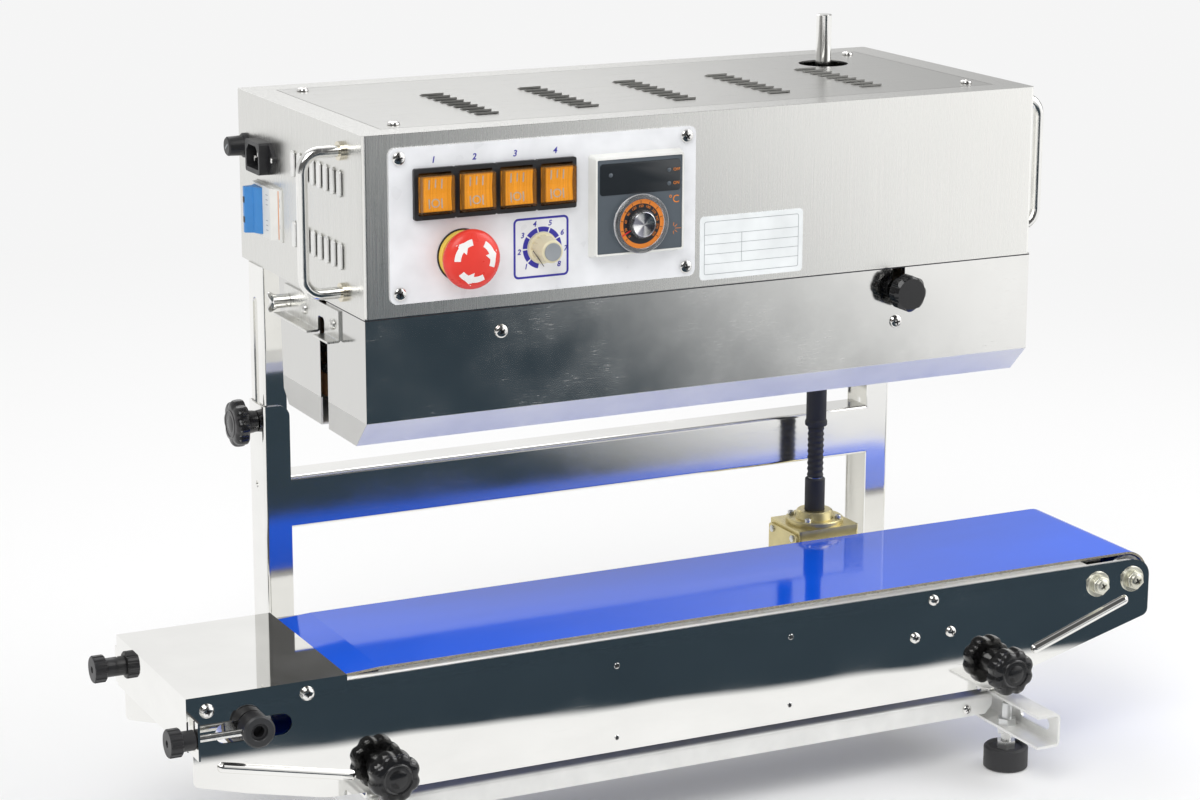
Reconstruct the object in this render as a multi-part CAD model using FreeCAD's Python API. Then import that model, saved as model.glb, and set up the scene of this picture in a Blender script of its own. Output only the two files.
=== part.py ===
"""Vertical band sealer for bags.

A stainless head with two heated sealing bands stands on two telescopic
columns behind a flat belt conveyor. A vertical rod carries the drive from
the gears in the head down to the gearbox of the conveyor.

While the model is built, X runs along the machine in the direction in which
the bags travel, Y runs to the back and Z runs up. X is 0 at the left face of
the head, Y is 0 at its front face and Z is 0 at the floor. Every piece is
moved to the middle of the machine's footprint when it is written.
All sizes are in millimetres.
"""
import FreeCAD
import Part
import math
import os

V = FreeCAD.Vector

# Roundings of turned pieces under this radius are bevels
LEAST_ROUNDING = 2.5

# Head: overall box, sheet thickness and its height above the floor
HEAD_LENGTH = 530.0
HEAD_DEPTH = 244.0
HEAD_HEIGHT = 125.0
HEAD_UNDERSIDE = 400.0
SHEET = 1.2
CORNER_BEND = 2.5
LID_BORDER = 22.0
LID_LEDGE = 6.0
LID_GAP = 0.5

# Lower covers either side of the slot that the bag's mouth runs through
COVER_DROP = 91.0
COVER_CHAMFER = 19.6
SLOT_FRONT = 71.0
SLOT_BACK = 85.0
GUARD_BACK = 164.5
GUARD_CHAMFER = 10.0
GUARD_TAPER = 5.0

# Sealing plane, bands and their wheels
SEAL_PLANE = 78.0
BAND_THICK = 0.5
BAND_HEIGHT = 16.0
BAND_LEVEL = HEAD_UNDERSIDE - 68.0
BAND_LIFT = 0.2
BAND_PASS_GAP = 0.6
WHEEL_RADIUS = 30.0
WHEEL_HEIGHT = 18.0
WHEEL_SHAFT = 5.0
IDLE_WHEEL_X = 42.0

# Gear train above the mechanism plate
GEAR_MODULE = 2.0
WHEEL_TEETH = 31
ROD_TEETH = 46
PINION_TEETH = 30
GEAR_HEIGHT = 10.0
GEAR_LEVEL = HEAD_UNDERSIDE + 8.0
PLATE_THICK = 3.0
HOUSING_DROP = 18.0
ROD_HOUSING_DROP = 12.0
ROD_HOUSING_FLANGE = 16.0
ROD_HUB = 10.0
ROD_GEAR_HOLES = 6
ROD_HOLE = 19.0
COVER_NOTCH_GAP = 1.0

# Fits
SHAFT_CLEAR = 0.05
SLIDE_CLEAR = 0.3
SHOW_GAP = 0.3

# Drive rod from the head to the conveyor's gearbox
ROD_X = HEAD_LENGTH - 78.0
ROD_Y = 174.0
ROD_RADIUS = 6.0
ROD_TOP = HEAD_UNDERSIDE + HEAD_HEIGHT + 38.0
ROD_WAIST = 4.0
KEYWAY_WIDTH = 3.0
KEYWAY_DEPTH = 1.5
KEYWAY_FOOT = HEAD_UNDERSIDE - 62.0
SLEEVE_RADIUS = 8.0
SLEEVE_TOP = 318.0
BOOT_TOP = 237.0
BOOT_FOOT = 194.0
BOOT_RADIUS = 6.6
BOOT_RIBS = 9

# Motor with its gearhead
MOTOR_RADIUS = 28.0
MOTOR_HEIGHT = 56.0
GEARHEAD_SIZE = 60.0
GEARHEAD_HEIGHT = 38.0
GEARHEAD_FOOT = HEAD_UNDERSIDE + 24.0

# Seal blocks
BLOCK_HEIGHT = 20.0
BLOCK_DEPTH = 12.0
HEATER_X = (130.0, 230.0)
COOLER_X = (262.0, 322.0)
COOLER_FINS = 8
PRESSURE_X = HEAD_LENGTH - 113.0
PRESSURE_RADIUS = 14.0
PRESSURE_SHAFT = 4.0

# Columns and base
COLUMN_WALL = 1.5
COLUMN_DEPTH = 32.0
COLUMN_WIDTH = 20.5
COLUMN_FRONT = 196.5
COLUMN_TOP = 296.0
INNER_FOOT = COLUMN_TOP - 51.0
COLUMN_KNOB_Y = 213.0
COLUMN_KNOB_Z = COLUMN_TOP - 14.0
COLUMN_KNOB_REACH = 23.5
INNER_SLOT = (INNER_FOOT + 17.0, HEAD_UNDERSIDE - 29.0)
COLUMN_SLOT_WIDTH = 9.0
CROSSBAR_Z = (201.0, 241.0)
CROSSBAR_DEPTH = 26.0
LEG_WALL = 2.0
LEG_WIDTH = 20.0
LEG_Z = (33.0, 59.0)
LEG_Y = (-62.0, 262.0)
RAIL_Z = (41.3, 57.0)
RAIL_WALL = 1.5
RAIL_WIDTH = 25.0
RAIL_Y = (4.0, 118.0)
FOOT_RADIUS = 17.0
FOOT_HEIGHT = 18.0
FOOT_Y = (-7.0, 236.0)
FOOT_INSET = 11.0
STUD_RADIUS = 4.0

# Conveyor
CONVEYOR_DEPTH = 150.0
PANEL_WALL = 1.5
PANEL_TOP = 149.8
PANEL_FLANGE = 8.0
PANEL_LEFT = -129.5
PANEL_RIGHT = 653.0
PANEL_FOOT = 64.0
FLANGE_END = 595.0
PANEL_TIPS = (PANEL_FOOT + 26.0, PANEL_FOOT + 39.0)
PANEL_DROOP = ((PANEL_LEFT + 37.5, PANEL_FOOT + 15.5), (PANEL_LEFT + 95.5, PANEL_FOOT + 2.5))
PANEL_FLAT = (PANEL_LEFT + 159.5, PANEL_RIGHT - 145.0)
PANEL_SHOULDER = PANEL_RIGHT - 21.0
BEAD_WIDTH = 8.0
BEAD_LEFT = ((PANEL_LEFT + 20.5, PANEL_FOOT + 37.0), (PANEL_LEFT + 113.5, PANEL_FOOT + 16.0))
BEAD_RIGHT = ((PANEL_RIGHT - 104.0, PANEL_FOOT + 25.0), (PANEL_RIGHT - 23.0, PANEL_FOOT + 53.0))
BELT_THICK = 1.8
BELT_MARGIN = 8.0
BELT_LIFT = 0.15
BED_TOP = 150.8
BED_X = (8.0, 612.0)
BED_WALL = 1.5
BED_NOSE = 2.0
BED_LIP = 8.0
BED_SKIRT = 20.0
END_ROLLER = 17.5
OUTFEED_X = 637.0
INFEED_X = -87.0
INFEED_Z = 127.5
DRIVE_ROLLER = 20.0
DRIVE_Z = 124.0
ROLLER_AXLE = 4.0
DRIVE_AXLE = 6.0
ROLLER_MARGIN = 1.0
FRONT_BEARING = 22.0
TIE_X = 605.0
COVER_X = (-134.0, -18.0)
COVER_TOP = 154.0
COVER_APRON = 38.0
COVER_SKIRT = 13.0
COVER_WALL = 1.2
TENSION_OFFSET = 9.0
TENSION_ROD = 2.5
TENSION_SLOT_Z = INFEED_Z - 2.2
INFEED_AXLE_END = 6.0
BUSH_RADIUS = 11.0
THUMB_RADIUS = 10.0
THUMB_END = -150.5
THUMB_GRIP = 9.0
THUMB_FLUTES = 14
TAB_HEIGHT = 27.0
TAB_WIDTH = 16.0

# Conveyor brackets with their clamp knobs
BRACKET_WALL = 2.0
BRACKET_TOP = 122.0
BRACKET_HALF = 13.0
CLAMP_X = (9.0, HEAD_LENGTH - 15.0)
CLAMP_Z = 81.0
CLAMP_REACH = 38.0
CLAMP_TRAVEL = 25.0
CLAMP_SLOT_WIDTH = 9.0

# Gearbox under the rod
GEARBOX_WIDTH = 54.0
GEARBOX_TOP = 158.0
GEARBOX_FOOT = 98.0
COLLAR_RADIUS = 14.0
COLLAR_FLANGE = 23.0

# Control panel
PANEL_PLATE = (18.0, 248.5, HEAD_UNDERSIDE + 9.5, HEAD_UNDERSIDE + 115.5)
PLATE_FRONT = -1.5
SWITCH_X = (35.0, 155.0)
SWITCH_Z = (HEAD_UNDERSIDE + 66.0, HEAD_UNDERSIDE + 101.0)
SWITCH_COUNT = 4
SWITCH_PROUD = 3.0
ROCKER_TILT = 10.0
ROCKER_PIVOT_Y = 2.0
ROCKER_PIN = 1.5
STOP_X = 70.5
STOP_Z = HEAD_UNDERSIDE + 39.5
STOP_RADIUS = 20.0
STOP_TRAVEL = 4.0
SPEED_X = 130.3
SPEED_Z = HEAD_UNDERSIDE + 39.5
SPEED_RADIUS = 11.0
CONTROLLER_X = 201.3
CONTROLLER_Z = HEAD_UNDERSIDE + 65.0
CONTROLLER_SIZE = 72.0
CONTROLLER_BEVEL = 2.0
CONTROLLER_PROUD = 8.0
DIAL_DROP = 13.0
DIAL_RADIUS = 20.5
DIAL_STEM = 3.0

# Left side fittings
INLET_YZ = (186.5, HEAD_UNDERSIDE + 83.6)
FUSE_YZ = (227.0, HEAD_UNDERSIDE + 85.5)
BREAKER_Y = (154.0, 205.0)
BREAKER_Z = (HEAD_UNDERSIDE + 26.0, HEAD_UNDERSIDE + 64.0)
TOGGLE_X = 0.5
TOGGLE_Y = 190.0
TOGGLE_RADIUS = 10.2
TOGGLE_SWING = 40.0
TOGGLE_PIN = 1.5
HANDLE_Y = 37.0
HANDLE_Z = (HEAD_UNDERSIDE + 13.0, HEAD_UNDERSIDE + 110.0)
HANDLE_REACH = 29.0
HANDLE_BAR = 4.0
HANDLE_BEND = 13.0
LOUVRE_ROWS = (HEAD_UNDERSIDE + 37.0, HEAD_UNDERSIDE + 87.0)
LOUVRE_Y = (38.0, 126.0)
LOUVRE_COUNT = 8
LOUVRE_LENGTH = 17.0
LOUVRE_WIDTH = 3.2
LOUVRE_RISE = 1.6
LID_LOUVRE_PITCH = 77.0
LID_LOUVRE_MIDDLE = HEAD_LENGTH / 2 + 3.0
LID_LOUVRE_X = tuple(LID_LOUVRE_MIDDLE + step * LID_LOUVRE_PITCH for step in range(-2, 3))
LID_LOUVRE_Y = (52.0, 148.0)
LID_LOUVRE_COUNT = 9

# Guide bracket on the left end
GUIDE_WALL = 1.5
GUIDE_LIP = 10.0
GUIDE_Y = (45.0, 150.0)
GUIDE_Z = (HEAD_UNDERSIDE - 24.0, HEAD_UNDERSIDE - 2.0)
BRACKET_SCREW_Y = (56.0, 110.0)
BRACKET_SCREW_Z = HEAD_UNDERSIDE - 13.0
WING_Y = 142.0
WING_STEM = 3.0

# Knobs
COVER_KNOB_RADIUS = 13.5
COVER_KNOB_Z = HEAD_UNDERSIDE - 16.5
LOBED_RADIUS = 18.0
LOBED_THICK = 15.0
STAR_RADIUS = 20.0
STAR_THICK = 16.0
KNOB_STUD = 4.0

# Worked out from the sizes above
HEAD_TOP = HEAD_UNDERSIDE + HEAD_HEIGHT
COVER_FOOT = HEAD_UNDERSIDE - COVER_DROP
WHEEL_SPACING = GEAR_MODULE * WHEEL_TEETH
WHEEL_Y = (SEAL_PLANE - WHEEL_SPACING / 2, SEAL_PLANE + WHEEL_SPACING / 2)
ROD_MESH = GEAR_MODULE * (ROD_TEETH + WHEEL_TEETH) / 2
DRIVE_WHEEL_X = ROD_X + math.sqrt(ROD_MESH ** 2 - (ROD_Y - WHEEL_Y[1]) ** 2)
MOTOR_X = ROD_X - GEAR_MODULE * (ROD_TEETH + PINION_TEETH) / 2
PLATE_Z = (HEAD_UNDERSIDE, HEAD_UNDERSIDE + PLATE_THICK)
BELT_Y = (BELT_MARGIN, CONVEYOR_DEPTH - BELT_MARGIN)
OUTFEED_Z = BED_TOP - END_ROLLER
CLAMP_NUT_Y = PANEL_WALL + SLIDE_CLEAR + BRACKET_WALL + SHOW_GAP
CLAMP_SLOT = (CLAMP_Z - SLIDE_CLEAR, CLAMP_Z + CLAMP_TRAVEL + SLIDE_CLEAR)
BELT_TIP = OUTFEED_X + END_ROLLER + BELT_LIFT + BELT_THICK
MIDDLE = V((THUMB_END + BELT_TIP) / 2, (LEG_Y[0] + LEG_Y[1]) / 2, 0)
HEAD_MIDDLE = HEAD_LENGTH / 2


# Drawing helpers: a plane names its two in-plane axes and w lies along the third
def point(plane, u, v, w):
    """Point of a plane's (u, v) at the distance w from it."""
    if plane == "XY":
        return V(u, v, w)
    if plane == "XZ":
        return V(u, w, v)
    return V(w, u, v)


def normal(plane):
    """Direction that a profile in the plane is extruded in."""
    return {"XY": V(0, 0, 1), "XZ": V(0, 1, 0), "YZ": V(1, 0, 0)}[plane]


def unit(u, v):
    """The direction of (u, v) at length one."""
    length = math.hypot(u, v)
    return u / length, v / length


def rounded_wire(plane, corners, w):
    """Closed wire through (u, v) corners, where a third number rounds that corner."""
    starts = []
    ends = []
    middles = []
    count = len(corners)
    for index, corner in enumerate(corners):
        u, v = corner[0], corner[1]
        radius = corner[2] if len(corner) > 2 else 0.0
        if radius == 0.0:
            starts.append((u, v))
            ends.append((u, v))
            middles.append(None)
            continue
        before = corners[index - 1]
        after = corners[(index + 1) % count]
        au, av = unit(before[0] - u, before[1] - v)
        bu, bv = unit(after[0] - u, after[1] - v)
        half = math.acos(max(-1.0, min(1.0, au * bu + av * bv))) / 2
        reach = radius / math.tan(half)
        mu, mv = unit(au + bu, av + bv)
        depth = radius / math.sin(half) - radius
        starts.append((u + au * reach, v + av * reach))
        ends.append((u + bu * reach, v + bv * reach))
        middles.append((u + mu * depth, v + mv * depth))
    edges = []
    for index in range(count):
        a = point(plane, *ends[index], w)
        b = point(plane, *starts[(index + 1) % count], w)
        if middles[index] is not None:
            start = point(plane, *starts[index], w)
            middle = point(plane, *middles[index], w)
            edges.append(Part.Arc(start, middle, a).toShape())
        if (b - a).Length > 1e-6:
            edges.append(Part.LineSegment(a, b).toShape())
    return Part.Wire(edges)


def plate(plane, corners, span):
    """Solid of an outline with rounded corners, between two distances from its plane."""
    face = Part.Face(rounded_wire(plane, corners, span[0]))
    return face.extrude(normal(plane) * (span[1] - span[0]))


def rectangle(u, v, radius=0.0):
    """Corners of a rectangle between two (low, high) pairs."""
    return [(u[0], v[0], radius), (u[1], v[0], radius), (u[1], v[1], radius), (u[0], v[1], radius)]


def slot(plane, start, end, width, span):
    """Solid of a slot with round ends between two centres."""
    du, dv = unit(end[0] - start[0], end[1] - start[1])
    half = width / 2
    corners = []
    for centre, way in ((start, -1), (end, 1)):
        for side in (-way, way):
            u = centre[0] + du * half * way - dv * half * side
            v = centre[1] + dv * half * way + du * half * side
            corners.append((u, v, half * 0.999))
    return plate(plane, corners, span)


def folded(path, wall, bend):
    """Outline of a bent sheet whose left side is offset from a path by the wall."""
    sides = []
    for start, end in zip(path, path[1:]):
        du, dv = unit(end[0] - start[0], end[1] - start[1])
        sides.append((du, dv))
    outer = [(path[0][0], path[0][1])]
    du, dv = sides[0]
    inner = [(path[0][0] - dv * wall, path[0][1] + du * wall)]
    for index in range(1, len(path) - 1):
        u, v = path[index]
        au, av = sides[index - 1]
        bu, bv = sides[index]
        cross = au * bv - av * bu
        mu, mv = unit(-av - bv, au + bu)
        reach = wall / (mu * -av + mv * au)
        left = cross > 0
        outer.append((u, v, bend + wall if left else bend))
        inner.append((u + mu * reach, v + mv * reach, bend if left else bend + wall))
    du, dv = sides[-1]
    u, v = path[-1]
    outer.append((u, v))
    inner.append((u - dv * wall, v + du * wall))
    return outer + inner[::-1]


def belt_wire(plane, pulleys, grow, w):
    """Closed loop that runs counter-clockwise round pulleys given as (u, v, radius)."""
    touches = []
    count = len(pulleys)
    for index in range(count):
        u0, v0, r0 = pulleys[index]
        u1, v1, r1 = pulleys[(index + 1) % count]
        r0 += grow
        r1 += grow
        du, dv = u1 - u0, v1 - v0
        length = math.hypot(du, dv)
        heading = math.atan2(dv, du)
        lean = math.asin((r1 - r0) / length)
        side = heading - math.pi / 2 - lean
        start = (u0 + r0 * math.cos(side), v0 + r0 * math.sin(side))
        end = (u1 + r1 * math.cos(side), v1 + r1 * math.sin(side))
        touches.append((start, end, side))
    edges = []
    for index in range(count):
        start, end, side = touches[index]
        following = touches[(index + 1) % count]
        pulley = pulleys[(index + 1) % count]
        edges.append(Part.LineSegment(point(plane, *start, w), point(plane, *end, w)).toShape())
        turn = (following[2] - side) % (2 * math.pi)
        middle = side + turn / 2
        radius = pulley[2] + grow
        u = pulley[0] + radius * math.cos(middle)
        v = pulley[1] + radius * math.sin(middle)
        arc = Part.Arc(point(plane, *end, w), point(plane, u, v, w), point(plane, *following[0], w))
        edges.append(arc.toShape())
    return Part.Wire(edges)


def belt_loop(plane, pulleys, lift, wall, span):
    """Endless belt of a constant thickness that runs round pulleys."""
    way = normal(plane) * (span[1] - span[0])
    outer = Part.Face(belt_wire(plane, pulleys, lift + wall, span[0])).extrude(way)
    inner = Part.Face(belt_wire(plane, pulleys, lift, span[0])).extrude(way)
    return outer.cut(inner)


# Solids
def block(x, y, z):
    """Block between three (low, high) pairs."""
    return Part.makeBox(x[1] - x[0], y[1] - y[0], z[1] - z[0], V(x[0], y[0], z[0]))


def on_axis(axis, along, centre):
    """Point on an axis, whose centre is its other two coordinates in X, Y, Z order."""
    if axis == "X":
        return V(along, centre[0], centre[1])
    if axis == "Y":
        return V(centre[0], along, centre[1])
    return V(centre[0], centre[1], along)


def direction(axis):
    """Unit vector of an axis."""
    return {"X": V(1, 0, 0), "Y": V(0, 1, 0), "Z": V(0, 0, 1)}[axis]


def cylinder(radius, axis, span, centre):
    """Cylinder between two places along its axis."""
    foot = on_axis(axis, span[0], centre)
    return Part.makeCylinder(radius, span[1] - span[0], foot, direction(axis))


def ring(outer, inner, axis, span, centre):
    """Cylinder with a bore."""
    return cylinder(outer, axis, span, centre).cut(cylinder(inner, axis, span, centre))


def bevelled(profile):
    """Corners with each small rounding made a bevel between two corners."""
    corners = []
    for index, corner in enumerate(profile):
        if len(corner) < 3 or corner[2] >= LEAST_ROUNDING:
            corners.append(corner)
            continue
        for other in (profile[index - 1], profile[(index + 1) % len(profile)]):
            du, dv = unit(other[0] - corner[0], other[1] - corner[1])
            corners.append((corner[0] + du * corner[2], corner[1] + dv * corner[2]))
    return corners


def turned(profile, axis, centre):
    """Solid turned about an axis from (radius, along) corners, a third number eases one."""
    plane, flip = {"X": ("XY", True), "Y": ("XY", False), "Z": ("XZ", False)}[axis]
    corners = []
    for corner in bevelled(profile):
        pair = (corner[1], corner[0]) if flip else (corner[0], corner[1])
        corners.append(pair + tuple(corner[2:]))
    face = Part.Face(rounded_wire(plane, corners, 0.0))
    solid = face.revolve(V(0, 0, 0), direction(axis), 360)
    if solid.Volume < 0:
        solid.reverse()
    solid.translate(on_axis(axis, 0.0, centre))
    return solid


def mirrored(shape):
    """The shape on the other side of the head's middle."""
    return shape.mirror(V(HEAD_MIDDLE, 0, 0), V(1, 0, 0))


def fused(first, *rest):
    """One solid of several, with seams between flush faces taken out."""
    shape = first
    for other in rest:
        shape = shape.fuse(other)
    return shape.removeSplitter()


def lobed(radius, dip, lobes, thick, turn=0.0):
    """Grip of a lobed knob about Z: a rim of lobes and dips in arcs, bevelled at both ends."""
    step = 2 * math.pi / lobes
    knee = radius - dip * 0.4
    edges = []
    for lobe in range(lobes):
        middle = turn + lobe * step
        stops = ((-0.3, knee), (0.0, radius), (0.3, knee), (0.5, radius - dip), (0.7, knee))
        places = []
        for share, reach in stops:
            angle = middle + share * step
            places.append(V(reach * math.cos(angle), reach * math.sin(angle), 0))
        edges.append(Part.Arc(places[0], places[1], places[2]).toShape())
        edges.append(Part.Arc(places[2], places[3], places[4]).toShape())
    rim = Part.Face(Part.Wire(edges)).extrude(V(0, 0, thick))
    beyond = radius + 1.0
    crown = [(0, 0), (radius - 1.5, 0), (beyond, 2.5), (beyond, thick * 0.7), (radius * 0.84, thick), (0, thick)]
    return rim.common(turned(crown, "Z", (0, 0)))


def aimed(shape, axis, centre, along, back=False):
    """A piece made about Z from 0 upwards, laid on another axis at a place along it."""
    piece = shape.copy()
    origin = V(0, 0, 0)
    if axis == "X":
        piece.rotate(origin, V(0, 1, 0), 90)
    if axis == "Y":
        piece.rotate(origin, V(1, 0, 0), -90)
    if back:
        piece.rotate(origin, V(0, 0, 1) if axis != "Z" else V(1, 0, 0), 180)
    piece.translate(on_axis(axis, along, centre))
    return piece


def gear_blank(teeth, tooth_at, span, centre):
    """Spur gear about Z with one tooth centred at the given angle."""
    pitch = GEAR_MODULE * teeth / 2
    root = pitch - 1.25 * GEAR_MODULE
    tip = pitch + 0.9 * GEAR_MODULE
    step = 2 * math.pi / teeth
    corners = []
    for tooth in range(teeth):
        middle = tooth_at + tooth * step
        for reach, share in ((root, -0.34), (pitch, -0.225), (tip, -0.11), (tip, 0.11), (pitch, 0.225), (root, 0.34)):
            angle = middle + share * step
            corners.append((centre[0] + reach * math.cos(angle), centre[1] + reach * math.sin(angle)))
    return plate("XY", corners, span)


def meshing(teeth_a, tooth_a, heading, teeth_b):
    """Angle of a tooth of gear b that meshes with gear a, which lies at heading from a."""
    offset = (heading - tooth_a) % (2 * math.pi / teeth_a)
    gap = heading + math.pi + offset * teeth_a / teeth_b
    return gap + math.pi / teeth_b


# Base: legs, feet, rails, columns
def legs():
    """Two channel legs that open towards the middle, slotted near the front."""
    z0, z1 = LEG_Z
    outside = -COLUMN_WALL
    path = [(outside + LEG_WIDTH, z1), (outside, z1), (outside, z0), (outside + LEG_WIDTH, z0)]
    leg = plate("XZ", folded(path, LEG_WALL, LEG_WALL), LEG_Y)
    middle = (z0 + z1) / 2
    leg = leg.cut(slot("YZ", (LEG_Y[0] + 16, middle), (LEG_Y[0] + 46, middle), 9.0, (outside - 1, outside + 4)))
    for y in FOOT_Y:
        leg = leg.cut(cylinder(STUD_RADIUS + SHAFT_CLEAR, "Z", (z0 - 1, z0 + LEG_WALL + 1), (outside + FOOT_INSET, y)))
    return [leg, mirrored(leg)]


def foot_places():
    """Centres of the four feet."""
    places = []
    for y in FOOT_Y:
        left = -COLUMN_WALL + FOOT_INSET
        places.append((left, y))
        places.append((HEAD_LENGTH - left, y))
    return places


def rubber_feet():
    """Four turned rubber pads with a dished top round the stud's nut."""
    feet = []
    for place in foot_places():
        profile = [
            (0, 0), (FOOT_RADIUS - 1, 0, 1.0), (FOOT_RADIUS, 1.5), (FOOT_RADIUS, FOOT_HEIGHT, 1.5),
            (FOOT_RADIUS - 3.5, FOOT_HEIGHT), (FOOT_RADIUS - 4.5, FOOT_HEIGHT - 2), (STUD_RADIUS, FOOT_HEIGHT - 2),
            (STUD_RADIUS, FOOT_HEIGHT - 10), (0, FOOT_HEIGHT - 10)]
        feet.append(turned(profile, "Z", place))
    return feet


def hexagon(centre, across, turn=0.0):
    """Corners of a nut with the given width across its flats."""
    reach = across / 2 / math.cos(math.pi / 6)
    corners = []
    for step in range(6):
        angle = turn + step * math.pi / 3
        corners.append((centre[0] + reach * math.cos(angle), centre[1] + reach * math.sin(angle)))
    return corners


def foot_studs():
    """A stud for each foot with a nut on the rubber and a nut under and over the leg's sheet."""
    pieces = []
    floor = LEG_Z[0]
    for place in foot_places():
        stud = cylinder(STUD_RADIUS, "Z", (FOOT_HEIGHT - 10, LEG_Z[1] - LEG_WALL - 5), place)
        for low, high in ((FOOT_HEIGHT - 2, FOOT_HEIGHT + 4), (floor - 5, floor), (floor + LEG_WALL, floor + LEG_WALL + 5)):
            stud = fused(stud, plate("XY", hexagon(place, 13.0), (low, high)))
        pieces.append(stud)
    return pieces


def cross_rails():
    """Two angle rails bolted under the legs' top flanges."""
    pieces = []
    web = -COLUMN_WALL + LEG_WALL
    end = web + 2.0
    face = -COLUMN_WALL + LEG_WIDTH - 2.0
    for y in RAIL_Y:
        path = [(y, RAIL_Z[0]), (y, RAIL_Z[1]), (y + RAIL_WIDTH, RAIL_Z[1])]
        rail = plate("YZ", folded([(u, v) for u, v in path[::-1]], RAIL_WALL, RAIL_WALL), (end, HEAD_LENGTH - end))
        trim = plate("XZ", [(end - 1, RAIL_Z[0] - 1), (face + 7, RAIL_Z[0] - 1), (face, RAIL_Z[0] + 6, 5.0),
                            (face, RAIL_Z[1] - RAIL_WALL), (end - 1, RAIL_Z[1] - RAIL_WALL)], (y - 1, y + RAIL_WALL + 0.4))
        rail = rail.cut(trim).cut(mirrored(trim))
        pieces.append(rail)
    return pieces


def outer_column():
    """Left outer column: a channel on the leg with a tongue down the leg's web."""
    y0 = COLUMN_FRONT
    y1 = COLUMN_FRONT + COLUMN_DEPTH
    web = -2 * COLUMN_WALL
    path = [(web + COLUMN_WIDTH, y0), (web, y0), (web, y1), (web + COLUMN_WIDTH, y1)]
    column = plate("XY", folded(path[::-1], COLUMN_WALL, COLUMN_WALL), (LEG_Z[1], COLUMN_TOP))
    tongue = block((web, web + COLUMN_WALL), (y0 + 3, y1 - 3), (LEG_Z[0] + 3, LEG_Z[1]))
    column = fused(column, tongue)
    corner = 9.0
    free = plate("XZ", [(web + COLUMN_WIDTH - corner, COLUMN_TOP + 1), (web + COLUMN_WIDTH - corner, COLUMN_TOP),
                        (web + COLUMN_WIDTH, COLUMN_TOP, corner * 0.99), (web + COLUMN_WIDTH, COLUMN_TOP - corner),
                        (web + COLUMN_WIDTH + 1, COLUMN_TOP - corner), (web + COLUMN_WIDTH + 1, COLUMN_TOP + 1)],
                 (y0 - 1, y1 + 1))
    column = column.cut(free)
    stud = (COLUMN_KNOB_Y, COLUMN_KNOB_Z)
    column = column.cut(cylinder(KNOB_STUD + SHAFT_CLEAR, "X", (web - 1, web + 4), stud))
    return column.cut(cylinder(2.6, "X", (web - 1, web + 4), (COLUMN_KNOB_Y, COLUMN_KNOB_Z - 48)))


def column_frame():
    """Both outer columns, the crossbar between them and the clamp nuts inside."""
    left = outer_column()
    edge = -2 * COLUMN_WALL + COLUMN_WIDTH
    y0 = COLUMN_FRONT
    z0, z1 = CROSSBAR_Z
    path = [(y0 + CROSSBAR_DEPTH, z0), (y0, z0), (y0, z1), (y0 + CROSSBAR_DEPTH, z1)]
    bar = plate("YZ", folded(path[::-1], COLUMN_WALL, COLUMN_WALL), (edge, HEAD_LENGTH - edge))
    inside = -COLUMN_WALL + SLIDE_CLEAR + COLUMN_WALL
    nut = plate("YZ", hexagon((COLUMN_KNOB_Y, COLUMN_KNOB_Z), 14.0), (inside + SHOW_GAP, inside + SHOW_GAP + 6))
    nut = nut.cut(cylinder(KNOB_STUD + SHAFT_CLEAR, "X", (inside, inside + 9), (COLUMN_KNOB_Y, COLUMN_KNOB_Z)))
    return [left, mirrored(left), bar, nut, mirrored(nut)]


def conveyor_brackets():
    """A bent saddle on each leg, whose two uprights hold the conveyor's studs in slots."""
    pieces = []
    front = PANEL_WALL + SLIDE_CLEAR
    back = CONVEYOR_DEPTH - PANEL_WALL - SLIDE_CLEAR
    for x in CLAMP_X:
        path = [(front, BRACKET_TOP), (front, LEG_Z[1]), (back, LEG_Z[1]), (back, BRACKET_TOP)]
        span = (x - BRACKET_HALF, x + BRACKET_HALF)
        saddle = plate("YZ", folded(path, BRACKET_WALL, BRACKET_WALL), span)
        cutter = slot("XZ", (x, CLAMP_SLOT[0]), (x, CLAMP_SLOT[1]), CLAMP_SLOT_WIDTH, (front - 1, back + 1))
        pieces.append(saddle.cut(cutter))
    return pieces


# Head: housing
def inner_columns():
    """Two channels that slide inside the outer columns and carry the head on a foot flange."""
    gap = SLIDE_CLEAR
    web = -COLUMN_WALL + gap
    y0 = COLUMN_FRONT + COLUMN_WALL + gap
    y1 = COLUMN_FRONT + COLUMN_DEPTH - COLUMN_WALL - gap
    tip = -2 * COLUMN_WALL + COLUMN_WIDTH - 1.3
    path = [(tip, y0), (web, y0), (web, y1), (tip, y1)]
    column = plate("XY", folded(path[::-1], COLUMN_WALL, COLUMN_WALL * 0.6), (INNER_FOOT, HEAD_UNDERSIDE))
    flange = block((web + COLUMN_WALL, 46.0), (y0 + COLUMN_WALL, y1 - COLUMN_WALL), (HEAD_UNDERSIDE - 1.5, HEAD_UNDERSIDE))
    column = fused(column, flange)
    low, high = INNER_SLOT
    column = column.cut(slot("YZ", (COLUMN_KNOB_Y, low), (COLUMN_KNOB_Y, high), COLUMN_SLOT_WIDTH, (web - 1, web + 3)))
    return [column, mirrored(column)]


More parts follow.
